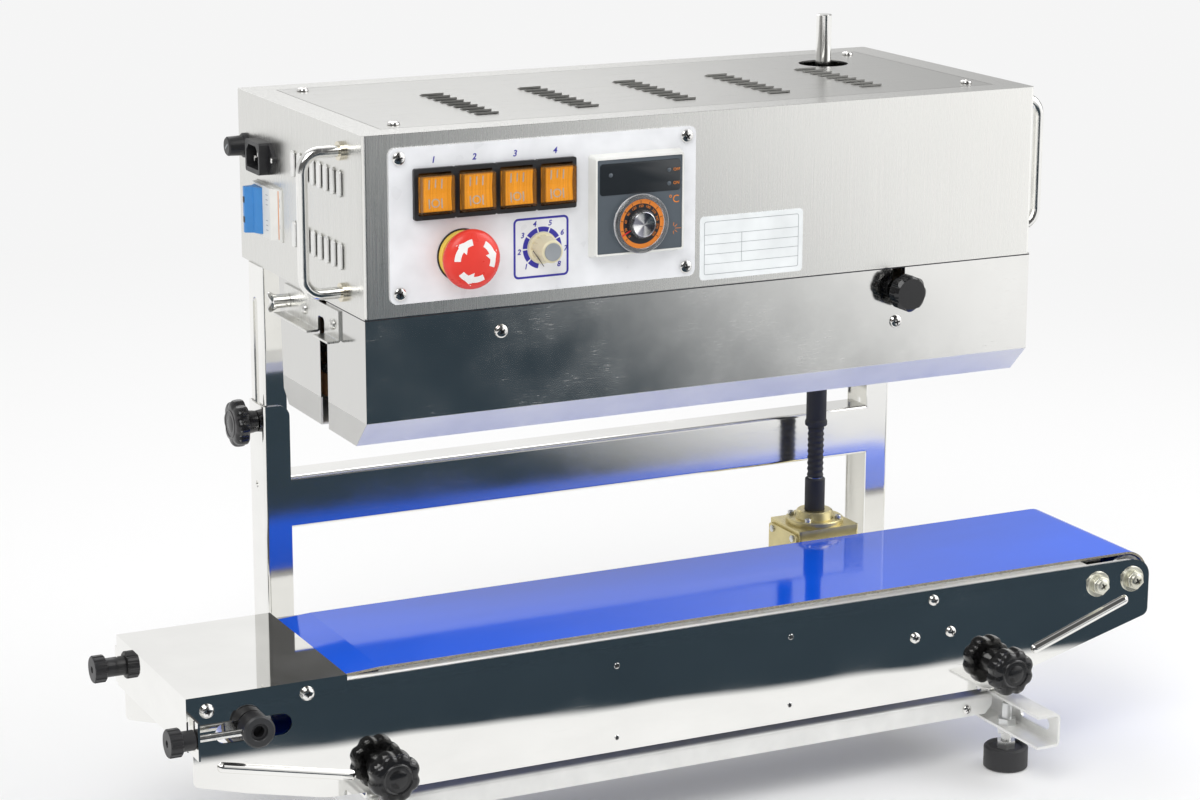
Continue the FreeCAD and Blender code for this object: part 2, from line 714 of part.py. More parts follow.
def side_louvres():
    """Pressed louvres of the left wall: what they add and what they cut."""
    hoods = []
    cuts = []
    step = (LOUVRE_Y[1] - LOUVRE_Y[0]) / (LOUVRE_COUNT - 1)
    for row in LOUVRE_ROWS:
        low = row - LOUVRE_LENGTH / 2
        high = row + LOUVRE_LENGTH / 2
        for index in range(LOUVRE_COUNT):
            y = LOUVRE_Y[0] + index * step
            section = [(-LOUVRE_RISE, y), (SHEET / 2, y), (SHEET / 2, y + 2 * LOUVRE_WIDTH)]
            hood = plate("XY", section, (low, high))
            hollow = [(-LOUVRE_RISE + 0.8, y - 1), (SHEET + 1, y - 1), (SHEET + 1, y + 2 * LOUVRE_WIDTH - 2.4)]
            hoods.append(hood)
            cuts.append(plate("XY", hollow, (low + 0.8, high - 0.8)))
    return hoods, cuts


def head_shell():
    """Four walls of the head in folded sheet, with a rim and a ledge for the lid."""
    z0, z1 = HEAD_UNDERSIDE, HEAD_TOP
    outer = plate("XY", rectangle((0, HEAD_LENGTH), (0, HEAD_DEPTH), CORNER_BEND), (z0, z1))
    inner = plate("XY", rectangle((SHEET, HEAD_LENGTH - SHEET), (SHEET, HEAD_DEPTH - SHEET), CORNER_BEND - SHEET),
                  (z0 - 1, z1 - SHEET))
    shell = outer.cut(inner)
    rim = LID_BORDER
    opening = rectangle((rim, HEAD_LENGTH - rim), (rim, HEAD_DEPTH - rim))
    shell = shell.cut(plate("XY", opening, (z1 - SHEET - 1, z1 + 1)))
    ledge_out = rectangle((rim - 5, HEAD_LENGTH - rim + 5), (rim - 5, HEAD_DEPTH - rim + 5))
    inset = rim + LID_LEDGE
    ledge_in = rectangle((inset, HEAD_LENGTH - inset), (inset, HEAD_DEPTH - inset))
    ledge = plate("XY", ledge_out, (z1 - 2 * SHEET, z1 - SHEET)).cut(plate("XY", ledge_in, (z1 - 9, z1)))
    shell = fused(shell, ledge)
    hoods, cuts = side_louvres()
    shell = shell.fuse(hoods).cut(Part.makeCompound(cuts))
    x0, x1, pz0, pz1 = PANEL_PLATE
    window = block((x0 + 8, x1 - 8), (-1, SHEET + 1), (pz0 + 12, pz1 - 8))
    breaker = block((-2, SHEET + 1), BREAKER_Y, BREAKER_Z)
    inlet = block((-2, SHEET + 1), (INLET_YZ[0] - 12, INLET_YZ[0] + 12), (INLET_YZ[1] - 9, INLET_YZ[1] + 9))
    fuse = cylinder(6.0, "X", (-2, SHEET + 1), FUSE_YZ)
    for cutter in (window, breaker, inlet, fuse):
        shell = shell.cut(cutter)
    return [shell]


def head_lid():
    """Lid that lies in the rim, with rows of pressed louvres and the hole for the rod."""
    inset = LID_BORDER + LID_GAP
    z1 = HEAD_TOP
    lid = plate("XY", rectangle((inset, HEAD_LENGTH - inset), (inset, HEAD_DEPTH - inset), 1.0), (z1 - SHEET, z1))
    step = (LID_LOUVRE_Y[1] - LID_LOUVRE_Y[0]) / (LID_LOUVRE_COUNT - 1)
    hoods = []
    cuts = []
    half = LOUVRE_LENGTH / 2
    for x in LID_LOUVRE_X:
        for index in range(LID_LOUVRE_COUNT):
            y = LID_LOUVRE_Y[0] + index * step
            section = [(y, z1 - SHEET / 2), (y, z1 + LOUVRE_RISE), (y + 2 * LOUVRE_WIDTH, z1 - SHEET / 2)]
            hollow = [(y - 1, z1 - SHEET - 1), (y - 1, z1 + LOUVRE_RISE - 0.8), (y + 2 * LOUVRE_WIDTH - 2.4, z1 - SHEET - 1)]
            hoods.append(plate("YZ", section, (x - half, x + half)))
            cuts.append(plate("YZ", hollow, (x - half + 0.8, x + half - 0.8)))
    lid = lid.fuse(hoods).cut(Part.makeCompound(cuts))
    return [lid.cut(cylinder(ROD_HOLE, "Z", (z1 - 5, z1 + 5), (ROD_X, ROD_Y)))]


def mechanism_plate():
    """Floor of the head, bored for the shafts and the rod's gear."""
    inside = rectangle((SHEET, HEAD_LENGTH - SHEET), (SHEET, HEAD_DEPTH - SHEET), CORNER_BEND - SHEET)
    floor = plate("XY", inside, PLATE_Z)
    span = (PLATE_Z[0] - 1, PLATE_Z[1] + 1)
    for y in WHEEL_Y:
        for x in (IDLE_WHEEL_X, DRIVE_WHEEL_X):
            floor = floor.cut(cylinder(WHEEL_SHAFT + SHAFT_CLEAR, "Z", span, (x, y)))
    floor = floor.cut(cylinder(ROD_HUB + SHAFT_CLEAR, "Z", span, (ROD_X, ROD_Y)))
    return [floor]


def bearing_housings():
    """Flanged housings under the plate for the wheel shafts, the rod's gear and the pressure wheels."""
    pieces = []
    top = PLATE_Z[0]
    for y in WHEEL_Y:
        for x in (IDLE_WHEEL_X, DRIVE_WHEEL_X):
            profile = [(WHEEL_SHAFT + SHAFT_CLEAR, top - HOUSING_DROP), (10.0, top - HOUSING_DROP, 1.0), (10.0, top - 4),
                       (15.0, top - 4), (15.0, top), (WHEEL_SHAFT + SHAFT_CLEAR, top)]
            pieces.append(turned(profile, "Z", (x, y)))
    bore = ROD_HUB + SHAFT_CLEAR
    low = top - ROD_HOUSING_DROP
    body = ROD_HOUSING_FLANGE - 3.0
    profile = [(bore, low), (body, low, 1.0), (body, top - 4), (ROD_HOUSING_FLANGE, top - 4),
               (ROD_HOUSING_FLANGE, top), (bore, top)]
    pieces.append(turned(profile, "Z", (ROD_X, ROD_Y)))
    for y in pressure_y():
        arm = block((PRESSURE_X - 12, PRESSURE_X + 12), (y - 11, y + 11), (top - 24, top))
        arm = arm.cut(cylinder(PRESSURE_SHAFT + SHAFT_CLEAR, "Z", (top - 25, top - 6), (PRESSURE_X, y)))
        if y < SEAL_PLANE:
            arm = arm.cut(cylinder(KNOB_STUD + SHAFT_CLEAR, "Y", (y - 12, y - 6), (PRESSURE_X, COVER_KNOB_Z)))
        pieces.append(arm)
    return pieces


def pressure_y():
    """Centres of the front and back pressure wheels, just clear of the bands."""
    reach = BAND_PASS_GAP / 2 + BAND_THICK + SHOW_GAP + PRESSURE_RADIUS
    return SEAL_PLANE - reach, SEAL_PLANE + reach


def front_cover():
    """Front lower cover: face, chamfer, bottom lip and ends, open to the slot and upwards."""
    foot = COVER_FOOT
    chamfer = COVER_CHAMFER
    corners = [(0, HEAD_UNDERSIDE), (0, foot + chamfer), (chamfer, foot), (SLOT_FRONT, foot), (SLOT_FRONT, HEAD_UNDERSIDE)]
    slope = SHEET * math.tan(math.pi / 8)
    hollow = [(SHEET, HEAD_UNDERSIDE + 1), (SHEET, foot + chamfer + slope), (chamfer + slope, foot + SHEET),
              (SLOT_FRONT + 1, foot + SHEET), (SLOT_FRONT + 1, HEAD_UNDERSIDE + 1)]
    cover = plate("YZ", corners, (0, HEAD_LENGTH)).cut(plate("YZ", hollow, (SHEET, HEAD_LENGTH - SHEET)))
    notch = slot("XZ", (PRESSURE_X, COVER_KNOB_Z), (PRESSURE_X, HEAD_UNDERSIDE + 20), 11.0, (-1, SHEET + 1))
    return [cover.cut(notch)]


def rear_guard():
    """Rear lower cover: bottom lip, chamfer, back and ends, open to the slot and upwards."""
    foot = COVER_FOOT
    low = GUARD_BACK - GUARD_TAPER
    corners = [(SLOT_BACK, HEAD_UNDERSIDE), (SLOT_BACK, foot), (low - GUARD_CHAMFER, foot), (low, foot + GUARD_CHAMFER),
               (GUARD_BACK, HEAD_UNDERSIDE)]
    hollow = [(SLOT_BACK - 1, HEAD_UNDERSIDE + 1), (SLOT_BACK - 1, foot + SHEET), (low - GUARD_CHAMFER - SHEET / 2, foot + SHEET),
              (low - SHEET, foot + GUARD_CHAMFER + SHEET / 2), (GUARD_BACK - SHEET, HEAD_UNDERSIDE + 1)]
    guard = plate("YZ", corners, (0, HEAD_LENGTH)).cut(plate("YZ", hollow, (SHEET, HEAD_LENGTH - SHEET)))
    notch_span = (HEAD_UNDERSIDE - ROD_HOUSING_DROP - COVER_NOTCH_GAP, HEAD_UNDERSIDE + 1)
    notch = cylinder(ROD_HOUSING_FLANGE + COVER_NOTCH_GAP, "Z", notch_span, (ROD_X, ROD_Y))
    return [guard.cut(notch)]


def handle(mirror):
    """Bent bar handle on two bosses on a side wall."""
    y = HANDLE_Y
    z0, z1 = HANDLE_Z
    reach = HANDLE_REACH
    bend = HANDLE_BEND
    k = bend * (1 - math.cos(math.pi / 4))
    a = V(0, y, z0)
    b = V(-reach + bend, y, z0)
    c = V(-reach, y, z0 + bend)
    d = V(-reach, y, z1 - bend)
    e = V(-reach + bend, y, z1)
    f = V(0, y, z1)
    path = Part.Wire([
        Part.LineSegment(a, b).toShape(),
        Part.Arc(b, V(-reach + k, y, z0 + k), c).toShape(),
        Part.LineSegment(c, d).toShape(),
        Part.Arc(d, V(-reach + k, y, z1 - k), e).toShape(),
        Part.LineSegment(e, f).toShape()])
    section = Part.Wire([Part.Circle(a, V(1, 0, 0), HANDLE_BAR).toShape()])
    bar = path.makePipeShell([section], True, False)
    pieces = [bar]
    for z in HANDLE_Z:
        pieces.append(ring(HANDLE_BAR + 2.5, HANDLE_BAR, "X", (-3.0, 0), (y, z)))
    if mirror:
        pieces = [mirrored(piece) for piece in pieces]
    return pieces


def panel_plate():
    """Plate of the control panel with an opening for each control."""
    x0, x1, z0, z1 = PANEL_PLATE
    span = (PLATE_FRONT, 0.0)
    sheet = plate("XZ", rectangle((x0, x1), (z0, z1), 5.0), span)
    wide = (span[0] - 1, span[1] + 1)
    switches = block((SWITCH_X[0] + 1.5, SWITCH_X[1] - 1.5), wide, (SWITCH_Z[0] + 1.5, SWITCH_Z[1] - 1.5))
    neck = CONTROLLER_SIZE / 2 - 3
    controller = block((CONTROLLER_X - neck, CONTROLLER_X + neck), wide, (CONTROLLER_Z - neck, CONTROLLER_Z + neck))
    stop = cylinder(11.0, "Y", wide, (STOP_X, STOP_Z))
    speed = cylinder(4.0, "Y", wide, (SPEED_X, SPEED_Z))
    for cutter in (switches, controller, stop, speed):
        sheet = sheet.cut(cutter)
    return [sheet]


def switch_places():
    """Middle of each rocker switch along X."""
    pitch = (SWITCH_X[1] - SWITCH_X[0]) / SWITCH_COUNT
    return [SWITCH_X[0] + pitch * (index + 0.5) for index in range(SWITCH_COUNT)]


def rocker_frames():
    """Four snap-in switch bodies with raised rims and cradles for the rockers."""
    pieces = []
    half_x = (SWITCH_X[1] - SWITCH_X[0]) / SWITCH_COUNT / 2
    middle = (SWITCH_Z[0] + SWITCH_Z[1]) / 2
    half_z = (SWITCH_Z[1] - SWITCH_Z[0]) / 2
    front = PLATE_FRONT - SWITCH_PROUD
    for x in switch_places():
        rim = plate("XZ", rectangle((x - half_x, x + half_x), (middle - half_z, middle + half_z), 1.5), (front, PLATE_FRONT))
        body = block((x - half_x + 1.5, x + half_x - 1.5), (PLATE_FRONT, 22.0), (middle - half_z + 1.5, middle + half_z - 1.5))
        frame = fused(rim, body)
        pocket = block((x - half_x + 3.0, x + half_x - 3.0), (front - 1, 12.0), (middle - half_z + 3.0, middle + half_z - 3.0))
        frame = frame.cut(pocket)
        pin = cylinder(ROCKER_PIN, "X", (x - half_x + 2.0, x + half_x - 2.0), (ROCKER_PIVOT_Y, middle))
        pieces.append(frame.cut(pin))
    return pieces


def rocker(index):
    """One rocker: a cradle-shaped key on a pivot pin."""
    x = switch_places()[index]
    half_x = (SWITCH_X[1] - SWITCH_X[0]) / SWITCH_COUNT / 2 - 3.0 - SHOW_GAP
    middle = (SWITCH_Z[0] + SWITCH_Z[1]) / 2
    half_z = (SWITCH_Z[1] - SWITCH_Z[0]) / 2 - 3.0 - SHOW_GAP
    span = (x - half_x, x + half_x)
    pivot_y = ROCKER_PIVOT_Y
    face = PLATE_FRONT - SWITCH_PROUD - 1.0
    outline = [(pivot_y + 3, middle - 5), (face - 0.6, middle - half_z + 1.2, 0.8), (face + 1.0, middle),
               (face - 0.6, middle + half_z - 1.2, 0.8), (pivot_y + 3, middle + 5)]
    key = plate("YZ", outline, span)
    pin = cylinder(ROCKER_PIN - SHAFT_CLEAR, "X", (span[0] - 1.0, span[1] + 1.0), (pivot_y, middle))
    return [fused(key, pin)]


def stop_button_base():
    """Collar and body of the stop button."""
    centre = (STOP_X, STOP_Z)
    front = PLATE_FRONT
    collar = turned([(9.0 + SHOW_GAP, front), (19.5, front), (17.5, front - 4.0, 1.0), (9.0 + SHOW_GAP, front - 4.0)], "Y", centre)
    body = turned([(0, 34.0), (14.0, 34.0, 1.0), (14.0, 3.0), (10.8, 3.0), (10.8, front), (9.0 + SHOW_GAP, front),
                   (9.0 + SHOW_GAP, 14.0), (0, 14.0)], "Y", centre)
    return [collar, body]


def stop_button_cap():
    """Mushroom cap with its stem."""
    centre = (STOP_X, STOP_Z)
    front = PLATE_FRONT - 4.0 - STOP_TRAVEL - 1.5
    profile = [(0, 8.0), (9.0, 8.0), (9.0, front), (STOP_RADIUS - 4, front), (STOP_RADIUS, front - 5.0, 2.0),
               (STOP_RADIUS, front - 10.0, 4.0), (STOP_RADIUS - 8, front - 13.5, 14.0), (0, front - 14.0)]
    return [turned(profile, "Y", centre)]


def speed_knob():
    """Fluted speed knob with a skirt and a flat cap."""
    centre = (SPEED_X, SPEED_Z)
    front = PLATE_FRONT - SHOW_GAP
    profile = [(0, 8.0), (3.0, 8.0), (3.0, front), (SPEED_RADIUS, front), (SPEED_RADIUS, front - 2.0, 0.8),
               (SPEED_RADIUS - 1.5, front - 2.6), (SPEED_RADIUS - 3.2, front - 17.0, 1.0), (0, front - 17.0)]
    knob = turned(profile, "Y", centre)
    for step in range(12):
        angle = 2 * math.pi * step / 12
        place = (centre[0] + (SPEED_RADIUS - 1.4) * math.cos(angle), centre[1] + (SPEED_RADIUS - 1.4) * math.sin(angle))
        knob = knob.cut(cylinder(0.9, "Y", (front - 18.0, front - 2.6), place))
    return [knob]


def controller_outline(inset, radius, y):
    """Square outline of the controller at a distance from the head's front face."""
    half = CONTROLLER_SIZE / 2 - inset
    x, z = CONTROLLER_X, CONTROLLER_Z
    return rounded_wire("XZ", rectangle((x - half, x + half), (z - half, z + half), radius), y)


def controller_body():
    """Square controller: bevelled bezel with a recessed face and a neck through the panel."""
    half = CONTROLLER_SIZE / 2 - 3.0
    front = PLATE_FRONT - CONTROLLER_PROUD
    x, z = CONTROLLER_X, CONTROLLER_Z
    wires = [controller_outline(0.0, 2.0, PLATE_FRONT), controller_outline(CONTROLLER_BEVEL, 1.5, front)]
    bezel = Part.makeLoft(wires, True, True)
    neck = block((x - half, x + half), (PLATE_FRONT, 60.0), (z - half, z + half))
    body = fused(bezel, neck)
    face = Part.Face(controller_outline(CONTROLLER_BEVEL + 1.2, 1.0, front - 1)).extrude(V(0, 1.8, 0))
    body = body.cut(face)
    return [body.cut(cylinder(DIAL_STEM, "Y", (front - 1, front + 14), (x, z - DIAL_DROP)))]


def controller_dial():
    """Dial of the controller: a clear-rimmed disc with a raised hub on a stem."""
    centre = (CONTROLLER_X, CONTROLLER_Z - DIAL_DROP)
    back = PLATE_FRONT - CONTROLLER_PROUD - SHOW_GAP
    stem = DIAL_STEM - SHAFT_CLEAR
    rim = DIAL_RADIUS - 3.0
    profile = [(0, back + 10.0), (stem, back + 10.0), (stem, back), (DIAL_RADIUS, back),
               (DIAL_RADIUS, back - 3.5, 1.0), (rim, back - 3.5), (rim, back - 1.6), (10.0, back - 1.6),
               (10.0, back - 5.5, 0.8), (0, back - 5.5)]
    return [turned(profile, "Y", centre)]


def power_fittings():
    """Mains inlet with its three pins and the fuse holder beside it."""
    y, z = INLET_YZ
    flange = plate("YZ", [(y - 25, z, 4.0), (y - 14, z - 11.5, 2.0), (y + 14, z - 11.5, 2.0), (y + 25, z, 4.0),
                          (y + 14, z + 11.5, 2.0), (y - 14, z + 11.5, 2.0)], (-3.0, 0.0))
    socket = plate("YZ", rectangle((y - 14.5, y + 14.5), (z - 11.5, z + 11.5), 2.0), (-10.0, -3.0))
    body = block((0.0, 16.0), (y - 12, y + 12), (z - 9, z + 9))
    inlet = fused(flange, socket, body)
    recess = plate("YZ", [(y - 12, z - 8, 1.5), (y + 12, z - 8, 1.5), (y + 12, z + 4, 1.5), (y + 7, z + 8.5, 1.0),
                          (y - 7, z + 8.5, 1.0), (y - 12, z + 4, 1.5)], (-11.0, 6.0))
    inlet = inlet.cut(recess)
    pins = []
    for dy, dz in ((-7, -2), (7, -2), (0, 2)):
        pins.append(block((-6.0, 6.0), (y + dy - 1, y + dy + 1), (z + dz - 2, z + dz + 2)))
    holder = turned([(0, 12.0), (5.8, 12.0), (5.8, 0.0), (9.0, 0.0), (9.0, -3.0, 0.8), (7.4, -3.0), (7.0, -15.0, 1.0), (0, -15.0)],
                    "X", FUSE_YZ)
    return [inlet, holder] + pins


def breaker_body():
    """Two-pole circuit breaker that fills its window, with a trough for the toggle bar."""
    y0, y1 = BREAKER_Y
    z0, z1 = BREAKER_Z
    body = block((-1.0, 58.0), BREAKER_Y, BREAKER_Z)
    nose = plate("XY", [(-1.0, y0 + 8), (-5.0, y0 + 12, 1.0), (-5.0, y1 - 3, 1.0), (-1.0, y1 - 1)], (z0 + 0.5, z1 - 0.5))
    body = fused(body, nose)
    trough = cylinder(TOGGLE_RADIUS + SHOW_GAP, "Z", (z0 + 2.0, z1 - 2.0), (TOGGLE_X, TOGGLE_Y))
    body = body.cut(trough)
    pin = cylinder(TOGGLE_PIN, "Z", (z0 + 1.0, z1 - 1.0), (TOGGLE_X, TOGGLE_Y))
    return [body.cut(pin)]


def breaker_toggle():
    """Toggle bar that joins the two poles, on a pivot pin."""
    z0, z1 = BREAKER_Z
    span = (z0 + 2.3, z1 - 2.3)
    drum = cylinder(TOGGLE_RADIUS, "Z", span, (TOGGLE_X, TOGGLE_Y))
    outline = [(-4.0, TOGGLE_Y - 4.5), (-15.0, TOGGLE_Y + 1.0, 1.2), (-15.0, TOGGLE_Y + 5.0, 1.2),
               (-4.0, TOGGLE_Y + 6.5)]
    lever = plate("XY", outline, span)
    pin = cylinder(TOGGLE_PIN - SHAFT_CLEAR, "Z", (z0 + 1.2, z1 - 1.2), (TOGGLE_X, TOGGLE_Y))
    return [fused(drum, lever, pin)]


# Head: mechanism
def gear_phases():
    """Angles of a tooth on the rod's gear, the back and front wheel gears and the pinion."""
    heading = math.atan2(WHEEL_Y[1] - ROD_Y, DRIVE_WHEEL_X - ROD_X)
    rod = heading
    back = meshing(ROD_TEETH, rod, heading, WHEEL_TEETH)
    front = meshing(WHEEL_TEETH, back, -math.pi / 2, WHEEL_TEETH)
    pinion = meshing(ROD_TEETH, rod, math.pi, PINION_TEETH)
    return rod, back, front, pinion


def gear_motor():
    """Motor on its gearhead, standing on four posts over the rod's gear."""
    half = GEARHEAD_SIZE / 2
    x, y = MOTOR_X, ROD_Y
    head_span = (GEARHEAD_FOOT, GEARHEAD_FOOT + GEARHEAD_HEIGHT)
    head = plate("XY", rectangle((x - half, x + half), (y - half, y + half), 6.0), head_span)
    head = head.cut(cylinder(WHEEL_SHAFT + SHAFT_CLEAR, "Z", (GEARHEAD_FOOT - 1, GEARHEAD_FOOT + 12), (x, y)))
    foot = head_span[1]
    profile = [(0, foot), (MOTOR_RADIUS, foot), (MOTOR_RADIUS, foot + MOTOR_HEIGHT, 2.0), (0, foot + MOTOR_HEIGHT)]
    motor = turned(profile, "Z", (x, y))
    pieces = [head, motor]
    for dx in (-half + 4, half - 4):
        for dy in (-half + 4, half - 4):
            pieces.append(cylinder(3.0, "Z", (PLATE_Z[1], GEARHEAD_FOOT), (x + dx, y + dy)))
    return pieces


def motor_pinion():
    """Pinion on the gearhead's shaft."""
    centre = (MOTOR_X, ROD_Y)
    level = (GEAR_LEVEL, GEAR_LEVEL + GEAR_HEIGHT)
    gear = gear_blank(PINION_TEETH, gear_phases()[3], level, centre)
    shaft = cylinder(WHEEL_SHAFT, "Z", (level[0] - 2, GEARHEAD_FOOT + 11), centre)
    return [fused(gear, shaft)]


def rod_gear():
    """Gear that drives the rod through a key, with a hub that turns in its housing."""
    centre = (ROD_X, ROD_Y)
    level = (GEAR_LEVEL, GEAR_LEVEL + GEAR_HEIGHT)
    gear = gear_blank(ROD_TEETH, gear_phases()[0], level, centre)
    hub = cylinder(ROD_HUB, "Z", (PLATE_Z[0] - ROD_HOUSING_DROP, level[0] + 1), centre)
    shoulder = cylinder(ROD_RADIUS + 7, "Z", (PLATE_Z[1] + SHOW_GAP, level[1] + 4), centre)
    gear = fused(gear, hub, shoulder)
    gear = gear.cut(cylinder(ROD_RADIUS + SHAFT_CLEAR, "Z", (PLATE_Z[0] - ROD_HOUSING_DROP - 1, level[1] + 5), centre))
    half = KEYWAY_WIDTH / 2 - 0.1
    key = block((ROD_X - half, ROD_X + half), (ROD_Y + ROD_RADIUS - KEYWAY_DEPTH + 0.15, ROD_Y + ROD_RADIUS + 1.5), level)
    radius = GEAR_MODULE * ROD_TEETH * 0.33
    for step in range(ROD_GEAR_HOLES):
        angle = 2 * math.pi * (step + 0.5) / ROD_GEAR_HOLES
        place = (ROD_X + radius * math.cos(angle), ROD_Y + radius * math.sin(angle))
        gear = gear.cut(cylinder(7.0, "Z", (level[0] - 1, level[1] + 1), place))
    return [fused(gear, key)]


def band_wheel(x, y, gear_phase=None):
    """Flanged band wheel on a vertical shaft, with a gear on top where it is driven."""
    centre = (x, y)
    low = BAND_LEVEL - WHEEL_HEIGHT / 2
    high = BAND_LEVEL + WHEEL_HEIGHT / 2
    rim = WHEEL_RADIUS
    profile = [(0, low - 2), (8.0, low - 2, 1.0), (8.0, low + 3), (rim - 5, low + 3), (rim - 5, low), (rim, low),
               (rim, high), (rim - 5, high), (rim - 5, high - 3), (10.0, high - 3), (10.0, high + 6, 1.0), (0, high + 6)]
    wheel = turned(profile, "Z", centre)
    top = PLATE_Z[1] + 2 if gear_phase is None else GEAR_LEVEL + GEAR_HEIGHT + 4
    wheel = fused(wheel, cylinder(WHEEL_SHAFT, "Z", (high, top), centre))
    if gear_phase is None:
        return [wheel]
    level = (GEAR_LEVEL, GEAR_LEVEL + GEAR_HEIGHT)
    gear = gear_blank(WHEEL_TEETH, gear_phase, level, centre)
    collar = cylinder(9.0, "Z", (PLATE_Z[1] + SHOW_GAP, level[0] + 1), centre)
    return [fused(wheel, gear, collar)]


def seal_bands():
    """Two endless sealing bands that run face to face through the slot."""
    pieces = []
    half = BAND_HEIGHT / 2
    offset = WHEEL_RADIUS + BAND_LIFT + BAND_THICK + BAND_PASS_GAP / 2 - WHEEL_SPACING / 2
    for y, way in zip(WHEEL_Y, (-1, 1)):
        place = y + way * offset
        pulleys = [(IDLE_WHEEL_X, place, WHEEL_RADIUS), (DRIVE_WHEEL_X, place, WHEEL_RADIUS)]
        pieces.append(belt_loop("XY", pulleys, BAND_LIFT, BAND_THICK, (BAND_LEVEL - half, BAND_LEVEL + half)))
    return pieces


def seal_block_pair(span, fins):
    """Front and back block that face the bands, each hung on two posts."""
    pieces = []
    near = BAND_PASS_GAP / 2 + BAND_THICK + SHOW_GAP
    low = BAND_LEVEL - BLOCK_HEIGHT / 2
    high = BAND_LEVEL + BLOCK_HEIGHT / 2
    for way in (-1, 1):
        ends = sorted((SEAL_PLANE + way * near, SEAL_PLANE + way * (near + BLOCK_DEPTH)))
        body = block(span, ends, (low, high))
        back = ends[0] if way < 0 else ends[1]
        pitch = (span[1] - span[0]) / (fins + 0.5) if fins else 0
        for index in range(fins):
            x = span[0] + pitch * (index + 0.5)
            gap = sorted((back + way, back - way * BLOCK_DEPTH * 0.6))
            body = body.cut(block((x, x + pitch / 2), gap, (low - 1, high + 1)))
        pieces.append(body)
        for share in (0.2, 0.8):
            x = span[0] + (span[1] - span[0]) * share
            y = SEAL_PLANE + way * (near + 3.5)
            pieces.append(cylinder(2.5, "Z", (high, PLATE_Z[0]), (x, y)))
    return pieces


def heater_blocks():
    """Heated pair of blocks."""
    return seal_block_pair(HEATER_X, 0)


def cooling_blocks():
    """Finned pair of blocks that cool the seal."""
    return seal_block_pair(COOLER_X, COOLER_FINS)


def pressure_wheel(y):
    """Knurled pressure wheel on its shaft."""
    low = BAND_LEVEL - WHEEL_HEIGHT / 2
    high = BAND_LEVEL + WHEEL_HEIGHT / 2
    profile = [(0, low), (PRESSURE_RADIUS, low, 1.0), (PRESSURE_RADIUS, high, 1.0), (7.0, high), (7.0, high + 5), (0, high + 5)]
    wheel = turned(profile, "Z", (PRESSURE_X, y))
    return [fused(wheel, cylinder(PRESSURE_SHAFT, "Z", (high, PLATE_Z[0] - 8), (PRESSURE_X, y)))]


def pressure_knob():
    """Eight-lobed knob whose stud passes the cover's notch into the pressure arm."""
    centre = (PRESSURE_X, COVER_KNOB_Z)
    stud_end = pressure_y()[0] - 7
    grip = aimed(lobed(COVER_KNOB_RADIUS, 1.8, 8, 11.0), "Y", centre, -8.0, True)
    hub = cylinder(8.0, "Y", (-10.0, -2.0), centre)
    return [fused(grip, hub, cylinder(KNOB_STUD, "Y", (-10.0, stud_end), centre))]


def guide_bracket():
    """Bent plate across the slot's entry on the left, with its lip and two screw heads."""
    wall = GUIDE_WALL
    low, high = GUIDE_Z
    path = [(-GUIDE_LIP, low), (0.0, low), (0.0, high)]
    sheet = plate("XZ", folded(path, wall, 1.0), GUIDE_Y)
    corners = [(SLOT_FRONT + 1, low - 1), (SLOT_BACK - 1, low - 1), (SLOT_BACK - 1, low + 12, 3.0),
               (SLOT_FRONT + 1, low + 12, 3.0)]
    sheet = sheet.cut(plate("YZ", corners, (-GUIDE_LIP - 1, 1)))
    sheet = sheet.cut(cylinder(WING_STEM + SHAFT_CLEAR, "X", (-wall - 1, 1), (WING_Y, BRACKET_SCREW_Z)))
    pieces = [sheet]
    for y in BRACKET_SCREW_Y:
        head = [(0, -wall), (4.0, -wall), (3.2, -wall - 2.3, 1.0), (0, -wall - 2.7)]
        pieces.append(turned(head, "X", (y, BRACKET_SCREW_Z)))
    return pieces


def wing_screw():
    """Wing screw that clamps the bracket's rear end."""
    y, z = WING_Y, BRACKET_SCREW_Z
    stem = cylinder(WING_STEM, "X", (-14.0, -SHOW_GAP), (y, z))
    hub = cylinder(5.0, "X", (-14.0, -GUIDE_WALL - SHOW_GAP), (y, z))
    outline = [(-22.0, z - 11, 2.0), (-9.0, z - 4), (-9.0, z + 4), (-22.0, z + 11, 2.0), (-14.0, z)]
    wing = plate("XZ", outline, (y - 1.2, y + 1.2))
    return [fused(stem, hub, wing)]


# Drive between head and conveyor
def drive_rod():
    """Keyed rod from above the lid down into the gearbox, waisted inside the boot."""
    waist = (BOOT_FOOT + 4, BOOT_TOP - 4)
    profile = [(0, GEARBOX_TOP - 16), (ROD_RADIUS, GEARBOX_TOP - 16), (ROD_RADIUS, waist[0]), (ROD_WAIST, waist[0]),
               (ROD_WAIST, waist[1]), (ROD_RADIUS, waist[1]), (ROD_RADIUS, ROD_TOP, 0.8), (0, ROD_TOP)]
    rod = turned(profile, "Z", (ROD_X, ROD_Y))
    half = KEYWAY_WIDTH / 2
    groove = block((ROD_X - half, ROD_X + half), (ROD_Y + ROD_RADIUS - KEYWAY_DEPTH, ROD_Y + ROD_RADIUS + 1), (KEYWAY_FOOT, ROD_TOP + 1))
    return [rod.cut(groove)]


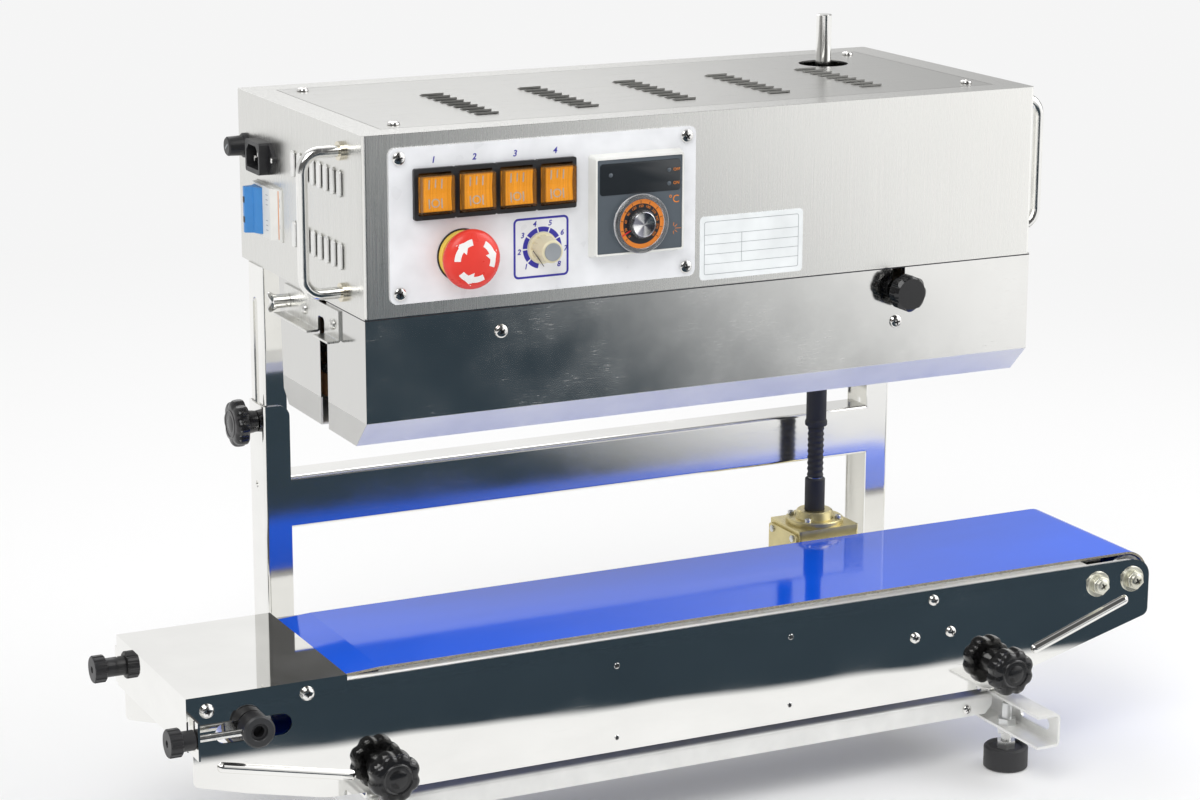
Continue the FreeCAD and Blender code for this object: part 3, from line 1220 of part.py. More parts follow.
def rod_cover():
    """Upper sleeve with its ring, ribbed boot and lower sleeve on the rod."""
    centre = (ROD_X, ROD_Y)
    upper = turned([(ROD_RADIUS, BOOT_TOP), (SLEEVE_RADIUS + 0.8, BOOT_TOP, 0.6), (SLEEVE_RADIUS + 0.8, BOOT_TOP + 4, 0.6),
                    (SLEEVE_RADIUS, BOOT_TOP + 5), (SLEEVE_RADIUS, SLEEVE_TOP, 0.8), (ROD_RADIUS, SLEEVE_TOP)], "Z", centre)
    profile = [(ROD_WAIST + 0.6, BOOT_TOP), (ROD_WAIST + 0.6, BOOT_FOOT)]
    pitch = (BOOT_TOP - BOOT_FOOT) / BOOT_RIBS
    for index in range(BOOT_RIBS):
        low = BOOT_FOOT + index * pitch
        profile.append((BOOT_RADIUS - 0.8, low))
        profile.append((BOOT_RADIUS, low + pitch * 0.5))
    profile.append((BOOT_RADIUS - 0.8, BOOT_TOP))
    bore = (BOOT_FOOT - 1, BOOT_TOP + 1)
    boot = turned(profile, "Z", centre)
    lower = turned([(ROD_RADIUS, GEARBOX_TOP + 4.4), (SLEEVE_RADIUS, GEARBOX_TOP + 4.4), (SLEEVE_RADIUS, BOOT_FOOT, 0.8),
                    (ROD_RADIUS, BOOT_FOOT)], "Z", centre)
    relief = cylinder(ROD_RADIUS, "Z", (bore[0], BOOT_FOOT + 4), centre)
    relief_top = cylinder(ROD_RADIUS, "Z", (BOOT_TOP - 4, bore[1]), centre)
    return [upper, boot.cut(relief).cut(relief_top), lower]


def gearbox_case():
    """Gearbox with its collar, the side cover and the front bearing of the drive roller."""
    half = GEARBOX_WIDTH / 2
    front = CONVEYOR_DEPTH
    back = ROD_Y + (ROD_Y - front)
    box = plate("XY", rectangle((ROD_X - half, ROD_X + half), (front, back), 2.0), (GEARBOX_FOOT, GEARBOX_TOP))
    centre = (ROD_X, ROD_Y)
    collar = turned([(0, GEARBOX_TOP - 1), (COLLAR_FLANGE, GEARBOX_TOP - 1), (COLLAR_FLANGE, GEARBOX_TOP + 4, 0.8),
                     (COLLAR_RADIUS + 2, GEARBOX_TOP + 4), (COLLAR_RADIUS, GEARBOX_TOP + 10, 0.8), (0, GEARBOX_TOP + 10)], "Z", centre)
    box = fused(box, collar)
    box = box.cut(cylinder(SLEEVE_RADIUS + SHOW_GAP, "Z", (GEARBOX_TOP + 4, GEARBOX_TOP + 12), centre))
    box = box.cut(cylinder(ROD_RADIUS + SHAFT_CLEAR, "Z", (GEARBOX_TOP - 17, GEARBOX_TOP + 12), centre))
    box = box.cut(cylinder(DRIVE_AXLE + SHAFT_CLEAR, "Y", (front - 1, front + 17), (ROD_X, DRIVE_Z)))
    lid = plate("YZ", rectangle((front + 2, back - 2), (GEARBOX_FOOT + 3, GEARBOX_TOP - 3), 3.0), (ROD_X - half - 2.0, ROD_X - half))
    span = (PANEL_WALL, BELT_MARGIN - SHOW_GAP)
    bearing = ring(FRONT_BEARING, DRIVE_AXLE + SHAFT_CLEAR, "Y", span, (ROD_X, DRIVE_Z))
    return [box, lid, bearing]


# Conveyor
def panel_outline():
    """Outline of a side panel: straight top, drooping left end, flat foot and rising right end."""
    return [
        (PANEL_LEFT, PANEL_TOP), (PANEL_LEFT, PANEL_TIPS[0], 4.0), (*PANEL_DROOP[0], 30.0), (*PANEL_DROOP[1], 60.0),
        (PANEL_FLAT[0], PANEL_FOOT, 60.0), (PANEL_FLAT[1], PANEL_FOOT, 60.0), (PANEL_RIGHT, PANEL_TIPS[1], 6.0),
        (PANEL_RIGHT, PANEL_TOP - 4, 14.0), (PANEL_SHOULDER, PANEL_TOP, 20.0)]


def bead(start, end, span, width):
    """Bar of a pressed bead, half sunk in the sheet."""
    axis = V(end[0] - start[0], 0, end[1] - start[1])
    return Part.makeCylinder(width / 2, axis.Length, V(start[0], sum(span) / 2, start[1]), axis)


def bead_end(place, span, width):
    """Rounded end of a pressed bead."""
    return Part.makeSphere(width / 2, V(place[0], sum(span) / 2, place[1]))


def conveyor_panel(back):
    """Side panel with its top flange, beads, tensioner tab and openings, and its clamp nuts or studs."""
    sheet = plate("XZ", panel_outline(), (0, PANEL_WALL))
    flange = block((PANEL_LEFT, FLANGE_END), (0, PANEL_FLANGE), (PANEL_TOP - PANEL_WALL, PANEL_TOP))
    tab = block((PANEL_LEFT - PANEL_WALL, PANEL_LEFT), (-TAB_WIDTH, PANEL_WALL), (INFEED_Z - TAB_HEIGHT / 2, INFEED_Z + TAB_HEIGHT / 2))
    beads = (BEAD_LEFT, BEAD_RIGHT)
    panel = fused(sheet, flange, tab)
    for start, end in beads:
        ends = [bead_end(place, (0, PANEL_WALL), BEAD_WIDTH) for place in (start, end)]
        panel = fused(panel, bead(start, end, (0, PANEL_WALL), BEAD_WIDTH), *ends)
    inside = block((PANEL_LEFT + 1, PANEL_RIGHT), (PANEL_WALL, 6.0), (PANEL_FOOT, PANEL_TOP - PANEL_WALL))
    panel = panel.cut(inside)
    for start, end in beads:
        panel = panel.cut(bead(start, end, (0, PANEL_WALL), BEAD_WIDTH - 2 * PANEL_WALL))
    through = (-2.0, PANEL_WALL + 2)
    panel = panel.cut(slot("XZ", (INFEED_X - 19, TENSION_SLOT_Z), (INFEED_X + 21, TENSION_SLOT_Z), 15.0, through))
    panel = panel.cut(cylinder(ROLLER_AXLE + SHAFT_CLEAR, "Y", through, (OUTFEED_X, OUTFEED_Z)))
    panel = panel.cut(cylinder(ROLLER_AXLE + SHAFT_CLEAR, "Y", through, (TIE_X, OUTFEED_Z)))
    panel = panel.cut(cylinder(TENSION_ROD + SHAFT_CLEAR, "X", (PANEL_LEFT - 3, PANEL_LEFT + 3), (-TENSION_OFFSET, INFEED_Z)))
    if back:
        panel = panel.mirror(V(0, CONVEYOR_DEPTH / 2, 0), V(0, 1, 0))
        panel = panel.cut(cylinder(DRIVE_AXLE + SHAFT_CLEAR, "Y", (CONVEYOR_DEPTH - 3, CONVEYOR_DEPTH + 1), (ROD_X, DRIVE_Z)))
        inner = CONVEYOR_DEPTH - PANEL_WALL
        pins = [cylinder(KNOB_STUD, "Y", (inner - 8, inner), (x, CLAMP_Z)) for x in CLAMP_X]
        return [fused(panel, *pins)]
    nuts = []
    for x in CLAMP_X:
        hole = cylinder(KNOB_STUD + SHAFT_CLEAR, "Y", (-1, CLAMP_NUT_Y + 6), (x, CLAMP_Z))
        nut = plate("XZ", hexagon((x, CLAMP_Z), 13.0), (CLAMP_NUT_Y, CLAMP_NUT_Y + 5))
        nuts.append(nut.cut(hole))
        panel = panel.cut(hole)
    return [panel] + nuts


def infeed_cover():
    """Folded cover over the infeed end, with aprons at its end and skirts down both panels."""
    x0, x1 = COVER_X
    wall = COVER_WALL
    y0, y1 = -wall, CONVEYOR_DEPTH + wall
    top = block((x0, x1), (y0, y1), (COVER_TOP - wall, COVER_TOP))
    apron = plate("YZ", rectangle((y0, y1), (COVER_TOP - COVER_APRON, COVER_TOP), 0.0), (x0, x0 + wall))
    skirts = []
    for y in (y0, CONVEYOR_DEPTH):
        outline = [(x0, COVER_TOP), (x0, COVER_TOP - COVER_SKIRT), (x1, COVER_TOP - COVER_SKIRT, 8.0), (x1, COVER_TOP)]
        skirts.append(plate("XZ", outline, (y, y + wall)))
    return [fused(top, apron, *skirts)]


def slider_bed():
    """Bed under the belt's upper run with a rounded nose, and the tie bar between the panels."""
    x0, x1 = BED_X
    path = [(x1, BED_TOP), (x0, BED_TOP), (x0, BED_TOP - BED_LIP)]
    top = plate("XZ", folded(path, BED_WALL, BED_NOSE - BED_WALL), BELT_Y)
    skirts = []
    for y in (BELT_Y[0], BELT_Y[1] - BED_WALL):
        skirts.append(block((x0 + 6, TIE_X - 14), (y, y + BED_WALL), (BED_TOP - BED_SKIRT, BED_TOP - BED_WALL)))
    bed = fused(top, *skirts)
    reach = DRIVE_ROLLER + 4.0
    notch_z = (BED_TOP - BED_SKIRT - 1, DRIVE_Z + DRIVE_ROLLER + 2.0)
    bed = bed.cut(block((ROD_X - reach, ROD_X + reach), (BELT_Y[0] - 1, BELT_Y[1] + 1), notch_z))
    tie = cylinder(ROLLER_AXLE, "Y", (-7.0, CONVEYOR_DEPTH + 7.0), (TIE_X, OUTFEED_Z))
    sleeve = ring(6.5, ROLLER_AXLE, "Y", (PANEL_WALL, CONVEYOR_DEPTH - PANEL_WALL), (TIE_X, OUTFEED_Z))
    return [bed, tie, sleeve]


def belt_pulleys():
    """Rollers and bed nose that the belt runs round, counter-clockwise from the outfeed."""
    nose = (BED_X[0] + BED_NOSE, BED_TOP - BED_NOSE, BED_NOSE)
    return [
        (OUTFEED_X, OUTFEED_Z, END_ROLLER), nose,
        (INFEED_X, INFEED_Z, END_ROLLER), (ROD_X, DRIVE_Z, DRIVE_ROLLER)]


def conveyor_belt():
    """Flat belt round the bed and its three rollers."""
    return [belt_loop("XZ", belt_pulleys(), BELT_LIFT, BELT_THICK, BELT_Y)]


def roller(x, z, radius, bore):
    """Belt roller with chamfered rims that runs on a fixed axle."""
    low = BELT_Y[0] + ROLLER_MARGIN
    high = BELT_Y[1] - ROLLER_MARGIN
    profile = [(bore, low), (radius - 1, low), (radius, low + 1), (radius, high - 1), (radius - 1, high), (bore, high)]
    return [turned(profile, "Y", (x, z))]


def drive_roller():
    """Driven roller whose axle runs from the front bearing into the gearbox."""
    low = BELT_Y[0] + ROLLER_MARGIN
    high = BELT_Y[1] - ROLLER_MARGIN
    r = DRIVE_ROLLER
    axle = DRIVE_AXLE
    profile = [(0, PANEL_WALL + 0.5), (axle, PANEL_WALL + 0.5), (axle, low), (r - 1, low), (r, low + 1), (r, high - 1),
               (r - 1, high), (axle, high), (axle, CONVEYOR_DEPTH + 16), (0, CONVEYOR_DEPTH + 16)]
    return [turned(profile, "Y", (ROD_X, DRIVE_Z))]


def conveyor_axles():
    """Fixed axles of the end rollers, with black bushes and tension rods at the infeed."""
    pieces = [cylinder(ROLLER_AXLE, "Y", (-7.0, CONVEYOR_DEPTH + 7.0), (OUTFEED_X, OUTFEED_Z))]
    pieces.append(cylinder(ROLLER_AXLE, "Y", (-INFEED_AXLE_END, CONVEYOR_DEPTH + INFEED_AXLE_END), (INFEED_X, INFEED_Z)))
    for way, face in ((-1, 0.0), (1, CONVEYOR_DEPTH)):
        span = sorted((face + way * 0.5, face + way * 13.0))
        bush = ring(BUSH_RADIUS, ROLLER_AXLE, "Y", span, (INFEED_X, INFEED_Z))
        pieces.append(bush)
        y = face + way * TENSION_OFFSET
        pieces.append(cylinder(TENSION_ROD, "X", (THUMB_END + 1, INFEED_X - BUSH_RADIUS), (y, INFEED_Z)))
    return pieces


def thumb_nut(y):
    """Fluted thumb nut on a tension rod, with a hub that ends at the panel's tab."""
    start = THUMB_END
    shoulder = THUMB_END + THUMB_GRIP
    end = PANEL_LEFT - PANEL_WALL - SHOW_GAP
    bore = TENSION_ROD + SHAFT_CLEAR
    profile = [(bore, start), (THUMB_RADIUS, start, 0.8), (THUMB_RADIUS, shoulder, 0.8), (7.0, shoulder),
               (7.0, end, 0.8), (bore, end)]
    nut = turned(profile, "X", (y, INFEED_Z))
    reach = THUMB_RADIUS + 0.5
    for step in range(THUMB_FLUTES):
        angle = 2 * math.pi * step / THUMB_FLUTES
        place = (y + reach * math.cos(angle), INFEED_Z + reach * math.sin(angle))
        nut = nut.cut(cylinder(1.3, "X", (start - 1, shoulder + 1), place))
    return [nut]


def clamp_knob(x):
    """Star knob whose stud passes the panel and the bracket's slot into its nut."""
    centre = (x, CLAMP_Z)
    neck = STAR_THICK - CLAMP_REACH
    grip = aimed(lobed(STAR_RADIUS, 2.6, 8, STAR_THICK, math.pi / 8), "Y", centre, neck, True)
    hub = turned([(0, neck - 1), (11.0, neck - 1), (13.5, -SHOW_GAP), (0, -SHOW_GAP)], "Y", centre)
    stud = cylinder(KNOB_STUD, "Y", (-5.0, CLAMP_NUT_Y + 5), centre)
    return [fused(grip, hub, stud)]


def column_knob(mirror):
    """Lobed knob whose stud passes the outer column and the inner column's slot into the nut."""
    centre = (COLUMN_KNOB_Y, COLUMN_KNOB_Z)
    web = -2 * COLUMN_WALL
    neck = web - COLUMN_KNOB_REACH + LOBED_THICK
    grip = aimed(lobed(LOBED_RADIUS, 2.4, 8, LOBED_THICK), "X", centre, neck, True)
    hub = turned([(0, neck - 1), (10.0, neck - 1), (11.5, web - SHOW_GAP), (0, web - SHOW_GAP)], "X", centre)
    piece = fused(grip, hub, cylinder(KNOB_STUD, "X", (web - 5.0, 9.0), centre))
    return [mirrored(piece) if mirror else piece]


def assembly():
    """Every node's name with its solids."""
    phases = gear_phases()
    front_y, back_y = pressure_y()
    nodes = {
        "legs": legs(),
        "rubber_feet": rubber_feet(),
        "foot_studs": foot_studs(),
        "cross_rails": cross_rails(),
        "column_frame": column_frame(),
        "conveyor_brackets": conveyor_brackets(),
        "column_knob_left": column_knob(False),
        "column_knob_right": column_knob(True),
        "inner_columns": inner_columns(),
        "head_shell": head_shell(),
        "head_lid": head_lid(),
        "mechanism_plate": mechanism_plate() + bearing_housings(),
        "front_cover": front_cover(),
        "rear_guard": rear_guard(),
        "handles": handle(False) + handle(True),
        "panel_plate": panel_plate(),
        "rocker_frames": rocker_frames(),
        "stop_button_base": stop_button_base(),
        "stop_button_cap": stop_button_cap(),
        "speed_knob": speed_knob(),
        "controller_body": controller_body(),
        "controller_dial": controller_dial(),
        "power_fittings": power_fittings(),
        "breaker_body": breaker_body(),
        "breaker_toggle": breaker_toggle(),
        "gear_motor": gear_motor(),
        "motor_pinion": motor_pinion(),
        "rod_gear": rod_gear(),
        "band_wheel_front_drive": band_wheel(DRIVE_WHEEL_X, WHEEL_Y[0], phases[2]),
        "band_wheel_back_drive": band_wheel(DRIVE_WHEEL_X, WHEEL_Y[1], phases[1]),
        "band_wheel_front_idle": band_wheel(IDLE_WHEEL_X, WHEEL_Y[0]),
        "band_wheel_back_idle": band_wheel(IDLE_WHEEL_X, WHEEL_Y[1]),
        "seal_bands": seal_bands(),
        "heater_blocks": heater_blocks(),
        "cooling_blocks": cooling_blocks(),
        "pressure_wheel_front": pressure_wheel(front_y),
        "pressure_wheel_back": pressure_wheel(back_y),
        "pressure_knob": pressure_knob(),
        "guide_bracket": guide_bracket(),
        "wing_screw": wing_screw(),
        "drive_rod": drive_rod(),
        "rod_cover": rod_cover(),
        "gearbox_case": gearbox_case(),
        "conveyor_panel_front": conveyor_panel(False),
        "conveyor_panel_back": conveyor_panel(True),
        "infeed_cover": infeed_cover(),
        "slider_bed": slider_bed(),
        "conveyor_belt": conveyor_belt(),
        "drive_roller": drive_roller(),
        "infeed_roller": roller(INFEED_X, INFEED_Z, END_ROLLER, ROLLER_AXLE + SHAFT_CLEAR),
        "outfeed_roller": roller(OUTFEED_X, OUTFEED_Z, END_ROLLER, ROLLER_AXLE + SHAFT_CLEAR),
        "conveyor_axles": conveyor_axles(),
        "thumb_nut_front": thumb_nut(-TENSION_OFFSET),
        "thumb_nut_back": thumb_nut(CONVEYOR_DEPTH + TENSION_OFFSET),
        "clamp_knob_left": clamp_knob(CLAMP_X[0]),
        "clamp_knob_right": clamp_knob(CLAMP_X[1]),
    }
    for index in range(SWITCH_COUNT):
        nodes["rocker_%d" % (index + 1)] = rocker(index)
    return nodes


def main():
    """Write one file for each node, moved to the middle of the footprint."""
    os.makedirs("parts", exist_ok=True)
    for name, solids in assembly().items():
        pieces = []
        for solid in solids:
            piece = solid.copy()
            piece.translate(-MIDDLE)
            pieces.extend(piece.Solids)
        shape = pieces[0] if len(pieces) == 1 else Part.makeCompound(pieces)
        shape.exportStep("parts/%s.step" % name)


main()
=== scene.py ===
"""Finishes, printed marks, fasteners and studio for the vertical band sealer.

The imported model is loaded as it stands. Each operator below adds one kind of
piece to it, or one kind of finish. Places are given in millimetres from the
head's left face, its front face and the floor, and turned into metres.
"""

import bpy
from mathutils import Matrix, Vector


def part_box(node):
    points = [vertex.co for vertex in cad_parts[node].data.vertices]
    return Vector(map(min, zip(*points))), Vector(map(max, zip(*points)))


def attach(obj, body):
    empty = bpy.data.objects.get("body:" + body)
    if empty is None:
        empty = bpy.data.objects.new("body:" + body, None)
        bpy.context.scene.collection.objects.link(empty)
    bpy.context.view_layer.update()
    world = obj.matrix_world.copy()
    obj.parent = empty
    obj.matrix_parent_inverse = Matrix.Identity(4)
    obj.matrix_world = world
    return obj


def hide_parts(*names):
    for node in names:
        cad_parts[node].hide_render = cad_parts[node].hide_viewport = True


bl_info = {
    "name": "Band sealer dressing",
    "version": (1, 0, 0),
    "blender": (4, 5, 0),
    "location": "3D View > Sidebar > Band Sealer",
    "description": "Adds finishes, printed marks and small hardware to the band sealer",
    "category": "Object",
}

import math

import bmesh
import bpy
from bpy.props import FloatProperty, FloatVectorProperty, IntProperty, PointerProperty
from bpy.types import Operator, Panel, PropertyGroup
from mathutils import Euler, Matrix, Vector

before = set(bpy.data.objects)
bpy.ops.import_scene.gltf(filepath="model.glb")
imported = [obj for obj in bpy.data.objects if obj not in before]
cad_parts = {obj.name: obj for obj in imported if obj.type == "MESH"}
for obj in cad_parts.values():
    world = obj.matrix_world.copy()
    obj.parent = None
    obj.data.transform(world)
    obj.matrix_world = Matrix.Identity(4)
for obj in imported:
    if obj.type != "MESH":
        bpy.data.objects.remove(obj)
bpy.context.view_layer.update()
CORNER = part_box("front_cover")[0]
MM = 0.001
INFEED = (-87.0, 127.5)

FACING = {
    "up": Matrix.Identity(3),
    "down": Matrix(((1, 0, 0), (0, -1, 0), (0, 0, -1))),
    "front": Matrix(((1, 0, 0), (0, 0, -1), (0, 1, 0))),
    "back": Matrix(((-1, 0, 0), (0, 0, 1), (0, 1, 0))),
    "left": Matrix(((0, 0, -1), (-1, 0, 0), (0, 1, 0))),
    "right": Matrix(((0, 0, 1), (1, 0, 0), (0, 1, 0))),
}


def at(x, y, z):
    """A place in millimetres from the head's left face, front face and the floor."""
    return Vector((CORNER.x + x * MM, CORNER.y + y * MM, z * MM))


def middle(node):
    """Middle of a node's box."""
    low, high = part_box(node)
    return (low + high) / 2


# Settings
class StageSettings(PropertyGroup):
    lens: FloatProperty(name="Lens", description="Focal length of the camera in millimetres",
                        default=92.765, min=20, max=200)
    world_light: FloatProperty(name="World light", description="Strength of the even light from all round",
                               default=0.72, min=0, max=2)
    key_light: FloatProperty(name="Key light", description="Power of the large lamp over the front left",
                             default=32, min=0, max=400, unit="POWER")
    backdrop: FloatVectorProperty(name="Backdrop", description="Colour behind and under the machine",
                                  default=(0.915, 0.915, 0.915), subtype="COLOR", min=0, max=1)
    card: FloatVectorProperty(name="Card", description="Colour of the cards that bright metal mirrors",
                              default=(0.030, 0.045, 0.058), subtype="COLOR", min=0, max=1)


class FinishSettings(PropertyGroup):
    stainless: FloatVectorProperty(name="Stainless", description="Colour of the brushed sheet",
                                   default=(0.97, 0.965, 0.93), subtype="COLOR", min=0, max=1)
    mirror: FloatVectorProperty(name="Polished sheet", description="Colour of the mirror finish",
                                default=(0.90, 0.895, 0.87), subtype="COLOR", min=0, max=1)
    belt: FloatVectorProperty(name="Belt", description="Colour of the belt's face",
                              default=(0.002, 0.105, 0.79), subtype="COLOR", min=0, max=1)
    belt_edge: FloatVectorProperty(name="Belt edge", description="Colour of the belt's cut edge",
                                   default=(0.30, 0.27, 0.21), subtype="COLOR", min=0, max=1)
    passivated: FloatVectorProperty(name="Gearbox", description="Colour of the yellow zinc on the gearbox",
                                    default=(0.64, 0.55, 0.28), subtype="COLOR", min=0, max=1)
    grain: FloatProperty(name="Grain", description="Fineness of the brushed grain, in lines each metre",
                         default=2400, min=100, max=4000)


class PanelSettings(PropertyGroup):
    ink: FloatVectorProperty(name="Ink", description="Colour of the printing on the panel",
                             default=(0.035, 0.03, 0.36), subtype="COLOR", min=0, max=1)
    scale_ink: FloatVectorProperty(name="Scale ink", description="Colour of the printing on the controller",
                                   default=(0.80, 0.23, 0.02), subtype="COLOR", min=0, max=1)
    numeral: FloatProperty(name="Numeral", description="Height of the numbers round the speed knob",
                           default=0.0052, min=0.002, max=0.01, unit="LENGTH")
    print_depth: FloatProperty(name="Print depth", description="Thickness of printed marks",
                               default=0.00012, min=0.00005, max=0.0005, unit="LENGTH", precision=5)
    hood_depth: FloatProperty(name="Hood depth", description="How far the switch hoods stand out",
                              default=0.0078, min=0.005, max=0.012, unit="LENGTH")
    lamp: FloatVectorProperty(name="Rocker", description="Colour of the switch rockers",
                              default=(0.98, 0.36, 0.012), subtype="COLOR", min=0, max=1)


class HardwareSettings(PropertyGroup):
    washer: FloatProperty(name="Washer", description="Radius of the flat washers",
                          default=0.0050, min=0.003, max=0.01, unit="LENGTH")
    recess: FloatProperty(name="Recess", description="Depth of the cross recess",
                          default=0.0016, min=0.0005, max=0.003, unit="LENGTH")
    sides: IntProperty(name="Sides", description="Number of sides of round hardware",
                       default=32, min=12, max=96)


# Modelling
def deselect():
    """Object mode with nothing selected."""
    if bpy.context.object and bpy.context.object.mode != "OBJECT":
        bpy.ops.object.mode_set(mode="OBJECT")
    bpy.ops.object.select_all(action="DESELECT")


def alone(piece):
    """Make one piece the only selected and active one."""
    deselect()
    piece.select_set(True)
    bpy.context.view_layer.objects.active = piece


def edit(piece):
    """Open a piece for editing with nothing of it selected."""
    alone(piece)
    bpy.ops.object.mode_set(mode="EDIT")
    bpy.ops.mesh.select_all(action="DESELECT")
    return bmesh.from_edit_mesh(piece.data)


def pick_faces(piece, test):
    """Open a piece and select the faces whose middle and normal pass a test."""
    mesh = edit(piece)
    bpy.ops.mesh.select_mode(type="FACE")
    for face in mesh.faces:
        face.select_set(test(face.calc_center_median(), face.normal))
    bmesh.update_edit_mesh(piece.data)


def pick_points(piece, test):
    """Open a piece and select the points whose place passes a test."""
    bpy.context.tool_settings.mesh_select_mode = (True, False, False)
    mesh = edit(piece)
    bpy.ops.mesh.select_mode(type="VERT")
    for point in mesh.verts:
        point.select_set(test(point.co))
    mesh.select_flush_mode()
    bmesh.update_edit_mesh(piece.data)


def extrude(length):
    """Extrude what is selected along Z."""
    bpy.ops.mesh.extrude_region_move(TRANSFORM_OT_translate={"value": (0, 0, length)})


def turned(name, stations, sides=48):
    """Solid turned about Z through (radius, height) stations in millimetres, closed at both ends."""
    deselect()
    radius, height = stations[0]
    bpy.ops.mesh.primitive_circle_add(vertices=sides, radius=radius * MM, fill_type="NGON", location=(0, 0, height * MM))
    piece = bpy.context.object
    piece.name = name
    bpy.ops.object.transform_apply(location=True)
    bpy.ops.object.mode_set(mode="EDIT")
    for wide, high in stations[1:]:
        extrude((high - height) * MM)
        share = wide / radius
        bpy.ops.transform.resize(value=(share, share, 1), center_override=(0, 0, high * MM))
        radius, height = wide, high
    bpy.ops.object.mode_set(mode="OBJECT")
    return piece


def hooped(name, stations, sides=48):
    """Ring turned about Z through a closed loop of (radius, height) stations in millimetres."""
    deselect()
    radius, height = stations[0]
    bpy.ops.mesh.primitive_circle_add(vertices=sides, radius=radius * MM, fill_type="NOTHING", location=(0, 0, height * MM))
    piece = bpy.context.object
    piece.name = name
    bpy.ops.object.transform_apply(location=True)
    bpy.ops.object.mode_set(mode="EDIT")
    bpy.ops.mesh.select_mode(type="VERT")
    bpy.ops.mesh.select_all(action="SELECT")
    for wide, high in stations[1:] + stations[:1]:
        extrude((high - height) * MM)
        share = wide / radius
        bpy.ops.transform.resize(value=(share, share, 1), center_override=(0, 0, high * MM))
        radius, height = wide, high
    bpy.ops.mesh.select_all(action="SELECT")
    bpy.ops.mesh.remove_doubles(threshold=1e-6)
    bpy.ops.mesh.normals_make_consistent(inside=False)
    bpy.ops.object.mode_set(mode="OBJECT")
    return piece


def slab(name, width, height, radius, thick, corner_steps=5):
    """Plate with rounded corners in millimetres, lying on Z = 0."""
    deselect()
    bpy.ops.mesh.primitive_plane_add(size=1, location=(0, 0, 0))
    piece = bpy.context.object
    piece.name = name
    piece.scale = (width * MM, height * MM, 1)
    bpy.ops.object.transform_apply(scale=True)
    bpy.ops.object.mode_set(mode="EDIT")
    bpy.ops.mesh.select_all(action="SELECT")
    if radius:
        bpy.ops.mesh.bevel(affect="VERTICES", offset=radius * MM, segments=corner_steps)
        bpy.ops.mesh.select_all(action="SELECT")
    if thick:
        extrude(thick * MM)
    bpy.ops.object.mode_set(mode="OBJECT")
    return piece


def outline(name, width, height, radius, stroke, thick):
    """Rounded rectangular line of a given stroke in millimetres."""
    piece = slab(name, width, height, radius, thick)
    pick_faces(piece, lambda place, normal: abs(normal.z) > 0.9)
    bpy.ops.mesh.inset(thickness=stroke * MM)
    bpy.ops.mesh.bridge_edge_loops()
    bpy.ops.object.mode_set(mode="OBJECT")
    return piece


def arc(name, inner, outer, start, sweep, thick):
    """Flat band between two radii in millimetres, from an angle in degrees through a sweep."""
    deselect()
    bpy.ops.mesh.primitive_plane_add(size=1, location=(0, 0, 0))
    piece = bpy.context.object
    piece.name = name
    piece.scale = ((outer - inner) * MM, 0.1 * MM, 1)
    piece.location = ((inner + outer) / 2 * MM, 0, 0)
    bpy.ops.object.transform_apply(location=True, scale=True)
    piece.rotation_euler.z = math.radians(start)
    bpy.ops.object.transform_apply(rotation=True)
    edit(piece)
    bpy.ops.mesh.select_mode(type="FACE")
    bpy.ops.mesh.select_all(action="SELECT")
    bpy.ops.mesh.delete(type="ONLY_FACE")
    turn = Matrix.Rotation(-math.radians(start), 3, "Z")
    pick_points(piece, lambda place: (turn @ place).y * math.copysign(1, -sweep) > 0)
    bpy.ops.mesh.delete(type="VERT")
    bpy.ops.mesh.select_all(action="SELECT")
    steps = max(3, int(abs(sweep) / 4))
    bpy.ops.mesh.spin(steps=steps, angle=math.radians(sweep), center=(0, 0, 0), axis=(0, 0, 1))
    bpy.ops.mesh.select_all(action="SELECT")
    if thick:
        extrude(thick * MM)
    bpy.ops.mesh.select_all(action="SELECT")
    bpy.ops.mesh.normals_make_consistent(inside=False)
    bpy.ops.object.mode_set(mode="OBJECT")
    return piece


def lettering(name, words, size, thick, slant=0.0, bold=0.0):
    """Printed characters about the origin, made into a mesh, thickened on request."""
    deselect()
    bpy.ops.object.text_add(location=(0, 0, 0))
    piece = bpy.context.object
    piece.name = name
    piece.data.body = words
    piece.data.size = size
    piece.data.shear = slant
    piece.data.extrude = thick / 2
    piece.data.offset = bold
    piece.data.resolution_u = 4
    piece.data.align_x = "CENTER"
    piece.data.align_y = "CENTER"
    bpy.ops.object.convert(target="MESH")
    return bpy.context.object


def put(piece, facing, place, turn=0.0):
    """Turn a piece about Z, face it one way and set it in its place, all in its mesh."""
    spin = Matrix.Rotation(math.radians(turn), 4, "Z")
    piece.matrix_world = Matrix.Translation(place) @ FACING[facing].to_4x4() @ spin @ piece.matrix_world
    alone(piece)
    bpy.ops.object.transform_apply(location=True, rotation=True, scale=True)
    return piece


def copied(piece, name):
    """A copy of a piece with its own mesh."""
    alone(piece)
    bpy.ops.object.duplicate(linked=False)
    copy = bpy.context.object
    copy.name = name
    return copy


def joined(name, pieces):
    """Several pieces as one mesh."""
    deselect()
    for piece in pieces:
        piece.select_set(True)
    bpy.context.view_layer.objects.active = pieces[0]
    bpy.ops.object.join()
    bpy.context.object.name = name
    return bpy.context.object


def carved(piece, cutter):
    """Take a cutter out of a piece."""
    alone(piece)
    cut = piece.modifiers.new("Cut", "BOOLEAN")
    cut.operation = "DIFFERENCE"
    cut.solver = "EXACT"
    cut.object = cutter
    bpy.ops.object.modifier_apply(modifier=cut.name)
    bpy.data.objects.remove(cutter)
    return piece


